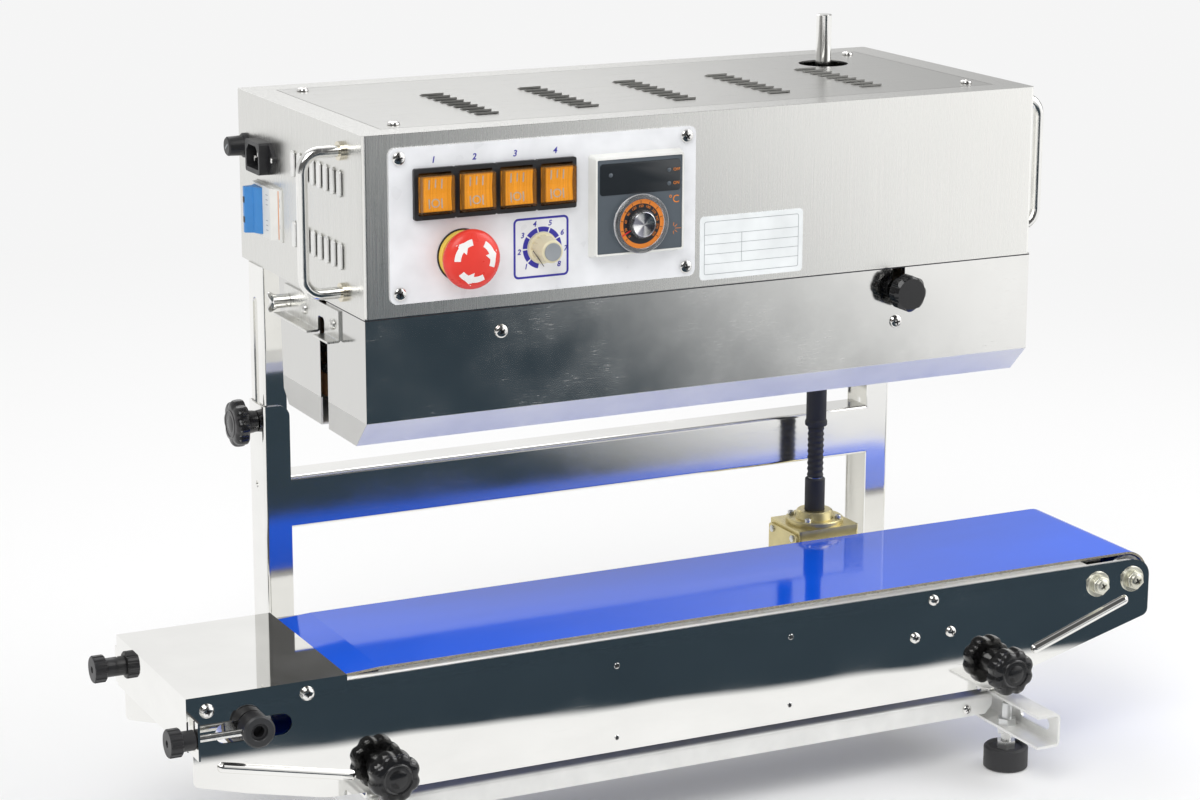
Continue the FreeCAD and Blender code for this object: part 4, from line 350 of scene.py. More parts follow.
def eased(piece, width, segments=2, angle=35):
    """Round off the sharp edges of a piece, in millimetres."""
    alone(piece)
    bevel = piece.modifiers.new("Ease", "BEVEL")
    bevel.width = width * MM
    bevel.segments = segments
    bevel.limit_method = "ANGLE"
    bevel.angle_limit = math.radians(angle)
    bpy.ops.object.modifier_apply(modifier=bevel.name)
    return piece


def laid(piece, target, thick):
    """Lay flat printing on a curved face from the front and give it a thickness in millimetres."""
    edit(piece)
    bpy.ops.mesh.select_all(action="SELECT")
    bpy.ops.mesh.quads_convert_to_tris()
    bpy.ops.mesh.subdivide(number_cuts=1)
    bpy.ops.object.mode_set(mode="OBJECT")
    alone(piece)
    wrap = piece.modifiers.new("Lay", "SHRINKWRAP")
    wrap.target = target
    wrap.wrap_method = "PROJECT"
    wrap.use_project_x = False
    wrap.use_project_y = True
    wrap.use_project_z = False
    wrap.use_positive_direction = True
    wrap.use_negative_direction = False
    wrap.offset = 0.02 * MM
    bpy.ops.object.modifier_apply(modifier=wrap.name)
    skin = piece.modifiers.new("Skin", "SOLIDIFY")
    skin.thickness = thick * MM
    skin.offset = 1
    bpy.ops.object.modifier_apply(modifier=skin.name)
    return piece


def finished(piece, material, body, angle=32):
    """Close a piece off: one finish, smooth faces, and the body that it rides on."""
    alone(piece)
    piece.data.materials.clear()
    piece.data.materials.append(material)
    bpy.ops.object.shade_smooth_by_angle(angle=math.radians(angle))
    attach(piece, body)
    return piece


# Finishes
def finish(name, colour, roughness=0.4, metallic=0.0, **sockets):
    """New material with uniform values on the shader's own sockets."""
    material = bpy.data.materials.get(name)
    if material:
        return material, None, None
    material = bpy.data.materials.new(name)
    material.use_nodes = True
    tree = material.node_tree
    shader = tree.nodes["Principled BSDF"]
    shader.inputs["Base Color"].default_value = (*colour, 1)
    shader.inputs["Roughness"].default_value = roughness
    shader.inputs["Metallic"].default_value = metallic
    for socket, value in sockets.items():
        shader.inputs[socket.replace("_", " ")].default_value = value
    return material, tree, shader


def noise(tree, scale, stretch=(1, 1, 1), detail=3.0):
    """Noise on the piece's own coordinates, finer along the stretched axes."""
    place = tree.nodes.new("ShaderNodeTexCoord")
    mapping = tree.nodes.new("ShaderNodeMapping")
    mapping.inputs["Scale"].default_value = stretch
    texture = tree.nodes.new("ShaderNodeTexNoise")
    texture.inputs["Scale"].default_value = scale
    texture.inputs["Detail"].default_value = detail
    tree.links.new(place.outputs["Object"], mapping.inputs["Vector"])
    tree.links.new(mapping.outputs["Vector"], texture.inputs["Vector"])
    return texture.outputs["Fac"]


def along(tree, axis, low, high):
    """Share of the way between two places in metres along an axis."""
    place = tree.nodes.new("ShaderNodeTexCoord")
    split = tree.nodes.new("ShaderNodeSeparateXYZ")
    share = tree.nodes.new("ShaderNodeMapRange")
    share.inputs["From Min"].default_value = low
    share.inputs["From Max"].default_value = high
    tree.links.new(place.outputs["Object"], split.inputs[0])
    tree.links.new(split.outputs[axis], share.inputs["Value"])
    return share.outputs["Result"]


def ranged(tree, value, low, high, start=0.3, end=0.7):
    """A value's range from start to end brought to low to high."""
    node = tree.nodes.new("ShaderNodeMapRange")
    node.inputs["From Min"].default_value = start
    node.inputs["From Max"].default_value = end
    node.inputs["To Min"].default_value = low
    node.inputs["To Max"].default_value = high
    tree.links.new(value, node.inputs["Value"])
    return node.outputs["Result"]


def maths(tree, operation, first, second):
    """Sum, product or comparison of two values."""
    node = tree.nodes.new("ShaderNodeMath")
    node.operation = operation
    for socket, value in zip(node.inputs, (first, second)):
        if isinstance(value, (int, float)):
            socket.default_value = value
        else:
            tree.links.new(value, socket)
    return node.outputs[0]


def blended(tree, share, first, second):
    """Mix of two colours or colour sockets."""
    node = tree.nodes.new("ShaderNodeMix")
    node.data_type = "RGBA"
    tree.links.new(share, node.inputs["Factor"])
    for socket, value in ((node.inputs[6], first), (node.inputs[7], second)):
        if isinstance(value, tuple):
            socket.default_value = (*value, 1)
        else:
            tree.links.new(value, socket)
    return node.outputs[2]


def relief(tree, shader, height, strength, distance):
    """Bump from a height."""
    node = tree.nodes.new("ShaderNodeBump")
    node.inputs["Strength"].default_value = strength
    node.inputs["Distance"].default_value = distance
    tree.links.new(height, node.inputs["Height"])
    tree.links.new(node.outputs["Normal"], shader.inputs["Normal"])


def tint(colour, share):
    """A colour made lighter or darker."""
    return tuple(min(1.0, part * share) for part in colour)


def brushed(name, colour, stretch, rough=(0.22, 0.34), bump=0.03, rim=None):
    """Brushed sheet whose grain runs along the axis with the small stretch; given a rim height, painted shade darkens
    it from just under that height up and on the head's left wall.
    """
    material, tree, shader = finish(name, tuple(colour), metallic=1.0)
    if tree:
        grain = noise(tree, 1.0, stretch, 4.0)
        cloud = noise(tree, 9.0, (1, 1, 1), 2.0)
        shade = blended(tree, ranged(tree, grain, 0, 1), tint(colour, 0.95), tint(colour, 1.03))
        shade = blended(tree, ranged(tree, cloud, 0, 0.4), shade, tint(colour, 0.93))
        if rim:
            # painted shade: darker from just under the rim height up, and darker on the head's left wall
            shade = blended(tree, along(tree, "Z", rim - 0.0003, rim), shade, tint(colour, 0.56))
            wall = ranged(tree, along(tree, "X", CORNER.x + 0.0001, CORNER.x + 0.0004), 1, 0, 0, 1)
            shade = blended(tree, wall, shade, tint(colour, 0.76))
        tree.links.new(shade, shader.inputs["Base Color"])
        tree.links.new(ranged(tree, grain, *rough), shader.inputs["Roughness"])
        relief(tree, shader, grain, bump, 0.0002)
    return material


def polished(name, colour, rough=(0.02, 0.07), wave=0.25, satin=None):
    """Mirror-like sheet with faint waves, scratches and smears, satin from a height up."""
    material, tree, shader = finish(name, tuple(colour), metallic=1.0)
    if tree:
        smear = noise(tree, 14.0, (1, 1, 2), 4.0)
        scratch = noise(tree, 1.0, (60, 60, 1400), 2.0)
        rolling = noise(tree, 7.0, (1, 1, 1), 1.0)
        mark = maths(tree, "MULTIPLY", ranged(tree, scratch, 0, 1, 0.62, 0.74), ranged(tree, smear, 0, 1, 0.45, 0.7))
        value = maths(tree, "ADD", ranged(tree, smear, *rough), ranged(tree, mark, 0, 0.12, 0, 1))
        if satin:
            value = maths(tree, "MAXIMUM", value, ranged(tree, along(tree, "Z", satin, satin + MM), 0, 0.45, 0, 1))
        tree.links.new(value, shader.inputs["Roughness"])
        tree.links.new(blended(tree, ranged(tree, smear, 0, 1), tint(colour, 0.95), tint(colour, 1.03)),
                       shader.inputs["Base Color"])
        relief(tree, shader, rolling, wave, 0.0012)
    return material


def cover_finish(colour):
    """Satin-polished cover with clouds and fine scratches, dull on its folded foot, with painted shade on its left
    end.
    """
    material, tree, shader = finish("Satin cover painted shade", tuple(colour), metallic=1.0)
    if tree:
        cloud = noise(tree, 24.0, (1, 1, 1), 5.0)
        scratch = noise(tree, 1.0, (90, 90, 1800), 2.0)
        marks = maths(tree, "MULTIPLY", ranged(tree, scratch, 0, 1, 0.60, 0.72), ranged(tree, cloud, 0, 1, 0.45, 0.65))
        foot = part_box("front_cover")[0].z
        fold = ranged(tree, along(tree, "Z", foot + 0.0194, foot + 0.0200), 1, 0, 0, 1)
        rough = maths(tree, "ADD", ranged(tree, cloud, 0.09, 0.17), ranged(tree, marks, 0, 0.20, 0, 1))
        tree.links.new(maths(tree, "ADD", rough, ranged(tree, fold, 0, 0.42, 0, 1)), shader.inputs["Roughness"])
        tree.links.new(ranged(tree, fold, 1.0, 0.55, 0, 1), shader.inputs["Metallic"])
        sheet = blended(tree, ranged(tree, cloud, 0, 1), tint(colour, 0.93), tint(colour, 1.03))
        # painted shade: the left end face of the cover is darkened to 0.72
        end = ranged(tree, along(tree, "X", CORNER.x + 0.0001, CORNER.x + 0.0004), 1, 0, 0, 1)
        tree.links.new(blended(tree, end, sheet, tint(colour, 0.72)), shader.inputs["Base Color"])
        relief(tree, shader, marks, 0.05, 0.0001)
    return material


def moulded(name, colour, rough=(0.3, 0.45), texture=700.0, bump=0.12, **sockets):
    """Moulded plastic or rubber with a fine skin and soft colour variation."""
    material, tree, shader = finish(name, tuple(colour), **sockets)
    if tree:
        skin = noise(tree, texture, (1, 1, 1), 2.0)
        cloud = noise(tree, 40.0, (1, 1, 1), 3.0)
        tree.links.new(ranged(tree, cloud, *rough), shader.inputs["Roughness"])
        tree.links.new(blended(tree, ranged(tree, cloud, 0, 1), tint(colour, 0.92), tint(colour, 1.06)),
                       shader.inputs["Base Color"])
        relief(tree, shader, skin, bump, 0.0001)
    return material


def belt_finish(colours):
    """Glossy belt face with a woven, paler cut edge, and painted shade on the underside of the return run."""
    material, tree, shader = finish("Belt", tuple(colours.belt), 0.08)
    if tree:
        low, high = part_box("conveyor_belt")
        near = ranged(tree, along(tree, "Y", low.y, low.y + 0.0004), 1, 0, 0, 1)
        far = ranged(tree, along(tree, "Y", high.y - 0.0004, high.y), 0, 1, 0, 1)
        edge = maths(tree, "ADD", near, far)
        threads = noise(tree, 1.0, (900, 900, 2600), 1.0)
        woven = blended(tree, ranged(tree, threads, 0, 1, 0.4, 0.6), tint(colours.belt_edge, 0.55), tint(colours.belt_edge, 1.35))
        cloud = noise(tree, 12.0, (0.4, 1, 1), 3.0)
        face = blended(tree, ranged(tree, cloud, 0, 1), tint(colours.belt, 0.93), tint(colours.belt, 1.07))
        # painted shade: the belt's underside is darkened to 0.15 of its blue
        painted_shade_under = ranged(tree, along(tree, "Z", low.z + 0.002, low.z + 0.012), 1, 0, 0, 1)
        face = blended(tree, painted_shade_under, face, tint(colours.belt, 0.15))
        tree.links.new(blended(tree, edge, face, woven), shader.inputs["Base Color"])
        streak = noise(tree, 1.0, (6, 420, 6), 3.0)
        rough = maths(tree, "ADD", ranged(tree, streak, 0.05, 0.10), ranged(tree, edge, 0, 0.55, 0, 1))
        tree.links.new(rough, shader.inputs["Roughness"])
        relief(tree, shader, noise(tree, 5.0, (1, 1, 1), 1.0), 0.12, 0.001)
    return material


def zinc(name, colour, rough=(0.24, 0.42)):
    """Plated steel with clouds of interference colour."""
    material, tree, shader = finish(name, tuple(colour), metallic=0.9)
    if tree:
        cloud = noise(tree, 60.0, (1, 1, 1), 3.0)
        pale = (colour[0] * 1.10, colour[1] * 1.12, colour[2] * 1.16)
        tree.links.new(blended(tree, ranged(tree, cloud, 0, 1), tint(colour, 0.82), pale), shader.inputs["Base Color"])
        tree.links.new(ranged(tree, cloud, *rough), shader.inputs["Roughness"])
        relief(tree, shader, noise(tree, 900.0), 0.1, 0.0001)
    return material


def axle_finish(colour):
    """Ground axles and rods, with the bushes at the infeed axle's ends in moulded black."""
    material, tree, shader = finish("Axles", tuple(colour))
    if tree:
        reach = 11.4 * MM
        centre = at(INFEED[0], 0, INFEED[1])
        low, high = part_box("conveyor_panel_front")[1].y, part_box("conveyor_panel_back")[0].y
        inside = maths(tree, "MULTIPLY", ranged(tree, along(tree, "X", centre.x - reach, centre.x - reach + 0.0002), 0, 1, 0, 1),
                       ranged(tree, along(tree, "X", centre.x + reach, centre.x + reach + 0.0002), 1, 0, 0, 1))
        outside = maths(tree, "ADD", ranged(tree, along(tree, "Y", low - 0.001, low), 1, 0, 0, 1),
                        ranged(tree, along(tree, "Y", high, high + 0.001), 0, 1, 0, 1))
        bush = maths(tree, "MULTIPLY", inside, outside)
        cloud = noise(tree, 300.0, (1, 1, 1), 2.0)
        steel = blended(tree, ranged(tree, cloud, 0, 1), tint(colour, 0.9), tint(colour, 1.05))
        tree.links.new(blended(tree, bush, steel, (0.018, 0.018, 0.020)), shader.inputs["Base Color"])
        tree.links.new(ranged(tree, bush, 1, 0, 0, 1), shader.inputs["Metallic"])
        tree.links.new(maths(tree, "ADD", ranged(tree, cloud, 0.12, 0.2), ranged(tree, bush, 0, 0.25, 0, 1)), shader.inputs["Roughness"])
        relief(tree, shader, cloud, 0.08, 0.0001)
    return material


def handle_finish(colour):
    """Bright bent bar with brass-tinted rings against the walls."""
    material, tree, shader = finish("Handle bar", tuple(colour), metallic=1.0)
    if tree:
        low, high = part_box("front_cover")
        left = ranged(tree, along(tree, "X", low.x - 0.0034, low.x - 0.0031), 0, 1, 0, 1)
        right = ranged(tree, along(tree, "X", high.x + 0.0031, high.x + 0.0034), 1, 0, 0, 1)
        ring = maths(tree, "MULTIPLY", left, right)
        haze = noise(tree, 1.0, (500, 500, 60), 3.0)
        bar = blended(tree, ranged(tree, haze, 0, 1), tint(colour, 0.93), tint(colour, 1.05))
        tree.links.new(blended(tree, ring, bar, (0.74, 0.69, 0.57)), shader.inputs["Base Color"])
        tree.links.new(ranged(tree, haze, 0.13, 0.22), shader.inputs["Roughness"])
        relief(tree, shader, haze, 0.05, 0.0001)
    return material


def rocker_finish(colour):
    """Orange key with a painted glow, moulded ribs across it and painted shade and highlight along the ribs."""
    material, tree, shader = finish("Rocker", tuple(colour), 0.25)
    if tree:
        # painted light: the emission makes the key glow in place of the light that its clear hood keeps off
        shader.inputs["Emission Color"].default_value = (1.0, 0.34, 0.012, 1)
        shader.inputs["Emission Strength"].default_value = 0.60
        ribs = noise(tree, 1.0, (1500, 5, 5), 1.0)
        # painted shade and highlight: the ribs are drawn darker and lighter in colour as well as in relief
        tree.links.new(blended(tree, ranged(tree, ribs, 0, 1), tint(colour, 0.62), (1.0, 0.46, 0.03)), shader.inputs["Base Color"])
        relief(tree, shader, ribs, 0.25, 0.0003)
    return material


def clear_finish(name, colour, roughness=0.04):
    """Clear moulded plastic with faint flow marks."""
    material, tree, shader = finish(name, tuple(colour), roughness, Transmission_Weight=0.95, IOR=1.46)
    if tree:
        flow = noise(tree, 80.0, (1, 1, 1), 2.0)
        tree.links.new(ranged(tree, flow, roughness, roughness + 0.08), shader.inputs["Roughness"])
        relief(tree, shader, flow, 0.12, 0.0003)
    return material


def hood_finish():
    """Clear box hood, tinted brown where its side walls are seen edge on."""
    material, tree, shader = finish("Hood", (0.12, 0.07, 0.03), 0.05)
    if tree:
        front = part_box("rocker_frames")[0].y - bpy.context.scene.sealer_panel.hood_depth
        wall = ranged(tree, along(tree, "Y", front + 0.0003, front + 0.0011), 0.04, 0.58, 0, 1)
        tree.links.new(wall, shader.inputs["Alpha"])
        flow = noise(tree, 80.0, (1, 1, 1), 2.0)
        tree.links.new(ranged(tree, flow, 0.04, 0.10), shader.inputs["Roughness"])
        relief(tree, shader, flow, 0.12, 0.0003)
    return material


def ink_finish(name, colour, rough=(0.35, 0.5)):
    """Printed ink with a slightly uneven lay."""
    return moulded(name, colour, rough, 1500.0, 0.05)


def palette():
    """Every finish of the machine by a short name."""
    colours = bpy.context.scene.sealer_finishes
    panel = bpy.context.scene.sealer_panel
    grain = colours.grain
    return {
        # painted shade on the head's top rim and left wall
        "front": brushed("Brushed sheet upright painted shade", colours.stainless, (grain, grain, 10), rim=at(0, 0, 524.9).z),
        # painted shade: the flat lid is the same stainless as the head, darkened to 0.445
        "lid": brushed("Brushed sheet flat painted shade", tint(colours.stainless, 0.445), (12, grain, grain), (0.26, 0.38)),
        "cover": cover_finish(colours.mirror),
        "rail": moulded("Satin rail", (0.86, 0.86, 0.84), (0.30, 0.42), 600.0, 0.05, metallic=0.45),
        "bright": polished("Bright sheet", colours.mirror, (0.09, 0.16), 0.15),
        "mirror": polished("Mirror sheet", colours.mirror, wave=0.6, satin=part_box("conveyor_panel_front")[1].z - 0.0012),
        "polish": polished("Polished cover", colours.mirror, (0.015, 0.05), 0.15),
        "axles": axle_finish((0.80, 0.80, 0.78)),
        "handle": handle_finish(colours.mirror),
        "ground": brushed("Ground steel", (0.55, 0.55, 0.54), (300, 300, 300), (0.22, 0.38), 0.08),
        "chrome": polished("Chrome", (0.84, 0.83, 0.81), (0.06, 0.14), 0.05),
        "zinc": zinc("Clear zinc", (0.72, 0.72, 0.70)),
        "bolt": zinc("Pale zinc", (0.80, 0.78, 0.66)),
        "gearbox": zinc("Yellow zinc", colours.passivated),
        "panel": moulded("Panel lacquer", (0.82, 0.83, 0.855), (0.26, 0.36), 900.0, 0.05),
        "black": moulded("Black gloss", (0.013, 0.013, 0.014), (0.10, 0.24), 500.0, 0.03),
        "dark": moulded("Black plastic", (0.022, 0.022, 0.024), (0.34, 0.50), 900.0, 0.15),
        "rubber": moulded("Rubber", (0.030, 0.030, 0.032), (0.55, 0.75), 600.0, 0.25),
        "bush": moulded("Moulded bush", (0.030, 0.031, 0.033), (0.30, 0.46), 900.0, 0.12),
        "rocker": rocker_finish(tuple(panel.lamp)),
        "hood": hood_finish(),
        "dial_clear": clear_finish("Clear dial", (0.93, 0.93, 0.93), 0.10),
        "yellow": moulded("Yellow collar", (0.87, 0.62, 0.10), (0.30, 0.42)),
        "red": moulded("Red button", (0.78, 0.045, 0.03), (0.24, 0.36), 700.0, 0.06),
        "cream": moulded("Cream knob", (0.74, 0.68, 0.47), (0.34, 0.46)),
        "white": moulded("White plastic", (0.80, 0.80, 0.77), (0.30, 0.42), 900.0, 0.06),
        "blue": moulded("Blue toggle", (0.045, 0.24, 0.60), (0.30, 0.42)),
        "motor": moulded("Motor paint", (0.20, 0.21, 0.22), (0.35, 0.5), 500.0, 0.2),
        "cast": zinc("Cast aluminium", (0.50, 0.50, 0.49), (0.4, 0.58)),
        "band": moulded("Seal band", (0.42, 0.22, 0.10), (0.35, 0.5), 1200.0, 0.2),
        "knurl": moulded("Knurled rim", (0.62, 0.62, 0.64), (0.14, 0.24), 500.0, 0.05),
        "face": moulded("Controller face", (0.085, 0.105, 0.125), (0.40, 0.52), 900.0, 0.06),
        "window": moulded("Dark window", (0.022, 0.026, 0.030), (0.12, 0.2), 400.0, 0.02),
        "ink": ink_finish("Panel ink", panel.ink),
        "scale": ink_finish("Scale ink", panel.scale_ink),
        "white_ink": ink_finish("White ink", (0.85, 0.84, 0.82)),
        "red_ink": ink_finish("Red ink", (0.70, 0.02, 0.02)),
        "dark_ink": ink_finish("Dark ink", (0.02, 0.02, 0.025)),
        "grey": moulded("Grey cap", (0.30, 0.32, 0.34), (0.38, 0.5)),
        "label": moulded("Label", (0.83, 0.86, 0.87), (0.40, 0.52), 300.0, 0.04),
        "belt": belt_finish(colours),
    }


NODE_FINISHES = {
    "front": ["head_shell", "guide_bracket"],
    "cover": ["front_cover", "rear_guard"],
    "rail": ["cross_rails", "legs"],
    "lid": ["head_lid"],
    "bright": ["wing_screw", "column_frame", "inner_columns", "conveyor_brackets", "drive_rod"],
    "polish": ["infeed_cover"],
    "mirror": ["conveyor_panel_front", "conveyor_panel_back"],
    "handle": ["handles"],
    "ground": ["mechanism_plate", "motor_pinion", "rod_gear", "band_wheel_front_drive", "band_wheel_back_drive",
               "band_wheel_front_idle", "band_wheel_back_idle", "pressure_wheel_front", "pressure_wheel_back",
               "slider_bed", "drive_roller", "infeed_roller", "outfeed_roller"],
    "zinc": ["foot_studs"],
    "gearbox": ["gearbox_case"],
    "panel": ["panel_plate"],
    "black": ["column_knob_left", "column_knob_right", "clamp_knob_left", "clamp_knob_right", "pressure_knob"],
    "dark": ["rocker_frames", "power_fittings", "thumb_nut_front", "thumb_nut_back"],
    "rubber": ["rubber_feet", "rod_cover"],
    "rocker": ["rocker_1", "rocker_2", "rocker_3", "rocker_4"],
    "yellow": ["stop_button_base"],
    "red": ["stop_button_cap"],
    "cream": ["speed_knob"],
    "white": ["controller_body", "breaker_body"],
    "dial_clear": ["controller_dial"],
    "blue": ["breaker_toggle"],
    "motor": ["gear_motor"],
    "cast": ["heater_blocks", "cooling_blocks"],
    "band": ["seal_bands"],
    "belt": ["conveyor_belt"],
    "axles": ["conveyor_axles"],
}


class SEALER_OT_finishes(Operator):
    """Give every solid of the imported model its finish"""
    bl_idname = "sealer.finishes"
    bl_label = "Finishes"

    def execute(self, context):
        finishes = palette()
        for name, nodes in NODE_FINISHES.items():
            for node in nodes:
                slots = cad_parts[node].data.materials
                slots.clear()
                slots.append(finishes[name])
        left = set(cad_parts) - {node for nodes in NODE_FINISHES.values() for node in nodes}
        if left:
            raise RuntimeError("no finish for %s" % sorted(left))
        return {"FINISHED"}


# Hardware
def pan_screw(name, radius):
    """Pan head with a cross recess, standing on Z = 0, and a dark strip of painted shade on the floor of the recess.
    """
    deep = bpy.context.scene.sealer_hardware.recess / MM
    r = radius
    head = turned(name, [(r * 0.93, 0), (r, 0.3), (r, 0.9), (r * 0.95, 1.5), (r * 0.84, 2.0), (r * 0.62, 2.4),
                         (r * 0.30, 2.6)], bpy.context.scene.sealer_hardware.sides)
    floor = []
    for turn in (0, 90):
        bpy.ops.mesh.primitive_cube_add(size=1, location=(0, 0, 2.7 * MM), rotation=(0, 0, math.radians(turn)))
        arm = bpy.context.object
        arm.scale = (r * 1.25 * MM, r * 0.32 * MM, deep * 2 * MM)
        bpy.ops.object.transform_apply(location=True, rotation=True, scale=True)
        pick_faces(arm, lambda place, normal: normal.z < -0.9)
        bpy.ops.transform.resize(value=(0.62, 0.62, 1), center_override=(0, 0, 0))
        bpy.ops.object.mode_set(mode="OBJECT")
        carved(head, arm)
        # painted shade: a dark strip at the bottom of each arm of the recess
        strip = slab("Floor", r * 0.80, r * 0.22, 0, 0.1)
        floor.append(put(strip, "up", Vector((0, 0, (2.7 - deep) * MM)), turn))
    return head, joined(name + "_floor", floor)


def washer(name, radius, bore, thick):
    """Flat washer with eased rims."""
    return hooped(name, [(bore, 0), (radius - 0.2, 0), (radius, 0.2), (radius, thick - 0.2), (radius - 0.2, thick),
                         (bore, thick)], 40)


def hex_head(name, across, rise):
    """Hexagon head with a chamfered crown."""
    head = turned(name, [(across / 2 / math.cos(math.pi / 6), 0), (across / 2 / math.cos(math.pi / 6), rise)], 6)
    crown = turned("Crown", [(across * 0.62, -1), (across * 0.62, rise * 0.78), (across * 0.46, rise + 0.01)], 48)
    alone(head)
    cut = head.modifiers.new("Crown", "BOOLEAN")
    cut.operation = "INTERSECT"
    cut.object = crown
    bpy.ops.object.modifier_apply(modifier=cut.name)
    bpy.data.objects.remove(crown)
    return head


PAN_SCREWS = {
    "panel": ("front", "head", 4.7, 0.0, [(25.0, -1.5, 508.6, 20), (24.8, -1.5, 416.6, 60), (241.0, -1.5, 508.8, 35), (241.0, -1.5, 416.4, 5)]),
    "cover": ("front", "head", 4.7, 0.0, [(99.8, 0, 383.6, 40), (415.5, 0, 359.8, 10)]),
    "lid": ("up", "head", 4.3, 0.0, [(37.5, 36.5, 525, 30), (493.5, 36.5, 525, 75), (37.5, 208.0, 525, 10), (493.5, 208.0, 525, 50)]),
    "skirt": ("front", "conveyor", 4.5, 1.0, [(-119.5, -1.2, 143.5, 15), (-47.5, -1.2, 145.0, 70)]),
    "skirt_back": ("back", "conveyor", 4.5, 1.0, [(-119.5, 151.2, 143.5, 15), (-47.5, 151.2, 145.0, 70)]),
    "bearing": ("front", "conveyor", 4.0, 0.0, [(455.5, 0, 141.0, 25), (440.0, 0, 113.4, 60), (471.5, 0, 114.0, 5)]),
    "rail": ("front", "base", 3.7, 0.0, [(490.5, 4, 47.5, 25)]),
}


class SEALER_OT_pan_screws(Operator):
    """Cross-recess screws on the head, its lid, the panel and the conveyor, some on washers"""
    bl_idname = "sealer.pan_screws"
    bl_label = "Pan screws"

    def execute(self, context):
        finishes = palette()
        flat = washer("Washer", context.scene.sealer_hardware.washer / MM, 2.2, 1.0)
        for group, (facing, body, radius, lift, places) in PAN_SCREWS.items():
            model, floor = pan_screw("Screw", radius)
            heads = []
            recess_shades = []
            for x, y, z, turn in places:
                out = FACING[facing] @ Vector((0, 0, lift * MM))
                heads.append(put(copied(model, "Screw"), facing, at(x, y, z) + out, turn))
                recess_shades.append(put(copied(floor, "Recess"), facing, at(x, y, z) + out, turn))
                if lift:
                    heads.append(put(copied(flat, "Washer"), facing, at(x, y, z)))
            finished(joined("Screws_" + group, heads), finishes["chrome"], body, 38)
            # painted shade in the cross recesses
            finished(joined("Recess_shades_" + group, recess_shades), finishes["dark_ink"], body)
            for spare in (model, floor):
                bpy.data.objects.remove(spare)
        bpy.data.objects.remove(flat)
        return {"FINISHED"}


class SEALER_OT_axle_hardware(Operator):
    """Washers, spring washers and cross-recess bolts on the ends of the tie bar and the outfeed axle"""
    bl_idname = "sealer.axle_hardware"
    bl_label = "Axle hardware"

    def execute(self, context):
        finishes = palette()
        for facing, y, side in (("front", 0.0, "front"), ("back", 150.0, "back")):
            sets = []
            recess_shades = []
            for x in (605.0, 637.0):
                flat = washer("Flat", 10.0, 3.9, 1.4)
                spring = hooped("Spring", [(4.4, 1.4), (7.4, 1.4), (7.4, 3.4), (4.4, 3.4)], 40)
                head = eased(turned("Head", [(7.6, 3.4), (7.6, 6.0)], 6), 0.5)
                cross, floor = pan_screw("Cross", 5.6)
                for piece in (cross, floor):
                    put(piece, "up", Vector((0, 0, 5.9 * MM)), 20)
                place = at(x, y, 133.3)
                sets.append(put(joined("Stack", [flat, spring, head, cross]), facing, place, 10))
                recess_shades.append(put(floor, facing, place, 10))
            finished(joined("Axle_hardware_" + side, sets), finishes["bolt"], "conveyor", 38)
            # painted shade in the cross recesses
            finished(joined("Axle_recess_shades_" + side, recess_shades), finishes["dark_ink"], "conveyor")
        return {"FINISHED"}


class SEALER_OT_frame_bolts(Operator):
    """Hexagon bolts where the columns meet the head, the crossbar and the legs"""
    bl_idname = "sealer.frame_bolts"
    bl_label = "Frame bolts"

    def execute(self, context):
        finishes = palette()
        model = hex_head("Bolt", 8.0, 4.0)
        ring = washer("Ring", 6.0, 3.0, 1.0)
        bolt = joined("Bolt", [put(model, "up", Vector((0, 0, 1.0 * MM))), ring])
        groups = {
            "Flange_bolts": ("down", "head", [(32.0, 205.0, 398.5), (32.0, 220.0, 398.5), (498.0, 205.0, 398.5), (498.0, 220.0, 398.5)]),
            "Leg_bolts_left": ("left", "base", [(-3.0, 206.0, 46.0), (-3.0, 219.0, 46.0)]),
            "Leg_bolts_right": ("right", "base", [(533.0, 206.0, 46.0), (533.0, 219.0, 46.0)]),
        }
        for name, (facing, body, places) in groups.items():
            heads = [put(copied(bolt, "Bolt"), facing, at(*place), 15) for place in places]
            finished(joined(name, heads), finishes["zinc"], body, 38)
        bpy.data.objects.remove(bolt)
        return {"FINISHED"}


class SEALER_OT_cover_seam(Operator):
    """Dark strip of painted shadow in the joint between the head and its front cover, with the bright edge of the
    sheet over it
    """
    bl_idname = "sealer.cover_seam"
    bl_label = "Cover seam"

    def execute(self, context):
        finishes = palette()
        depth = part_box("front_cover")[1].y - CORNER.y
        shadow_strips = []
        edge = []
        for facing, length, place in (("front", 530.0, at(265.0, 0, 400.0)), ("left", depth / MM, at(0, depth / MM / 2, 400.0)),
                                      ("right", depth / MM, at(530.0, depth / MM / 2, 400.0))):
            # painted shadow: a dark strip along the joint under the head
            shadow_strips.append(put(slab("Painted_shadow", length, 0.9, 0, 0.12), facing, place))
            edge.append(put(slab("Edge", length, 0.5, 0, 0.16), facing, place + Vector((0, 0, 0.7 * MM))))
        finished(joined("Cover_joint_painted_shadow", shadow_strips), finishes["dark_ink"], "head")
        finished(joined("Cover_edge", edge), finishes["chrome"], "head")
        return {"FINISHED"}


class SEALER_OT_side_hoods(Operator):
    """Rounded pressed hoods over the louvres of both side walls"""
    bl_idname = "sealer.side_hoods"
    bl_label = "Side hoods"

    def execute(self, context):
        finishes = palette()
        model = eased(slab("Hood", 6.6, 19.2, 3.2, 2.0), 1.5, 4, 50)
        for facing, x, side in (("left", 0.0, "left"), ("right", 530.0, "right")):
            hoods = []
            for z in (437.0, 487.0):
                for index in range(8):
                    y = 38.0 + index * 88.0 / 7 + 2.6
                    hoods.append(put(copied(model, "Hood"), facing, at(x, y, z)))
            finished(joined("Side_hoods_" + side, hoods), finishes["rail"], "head", 60)
        bpy.data.objects.remove(model)
        return {"FINISHED"}


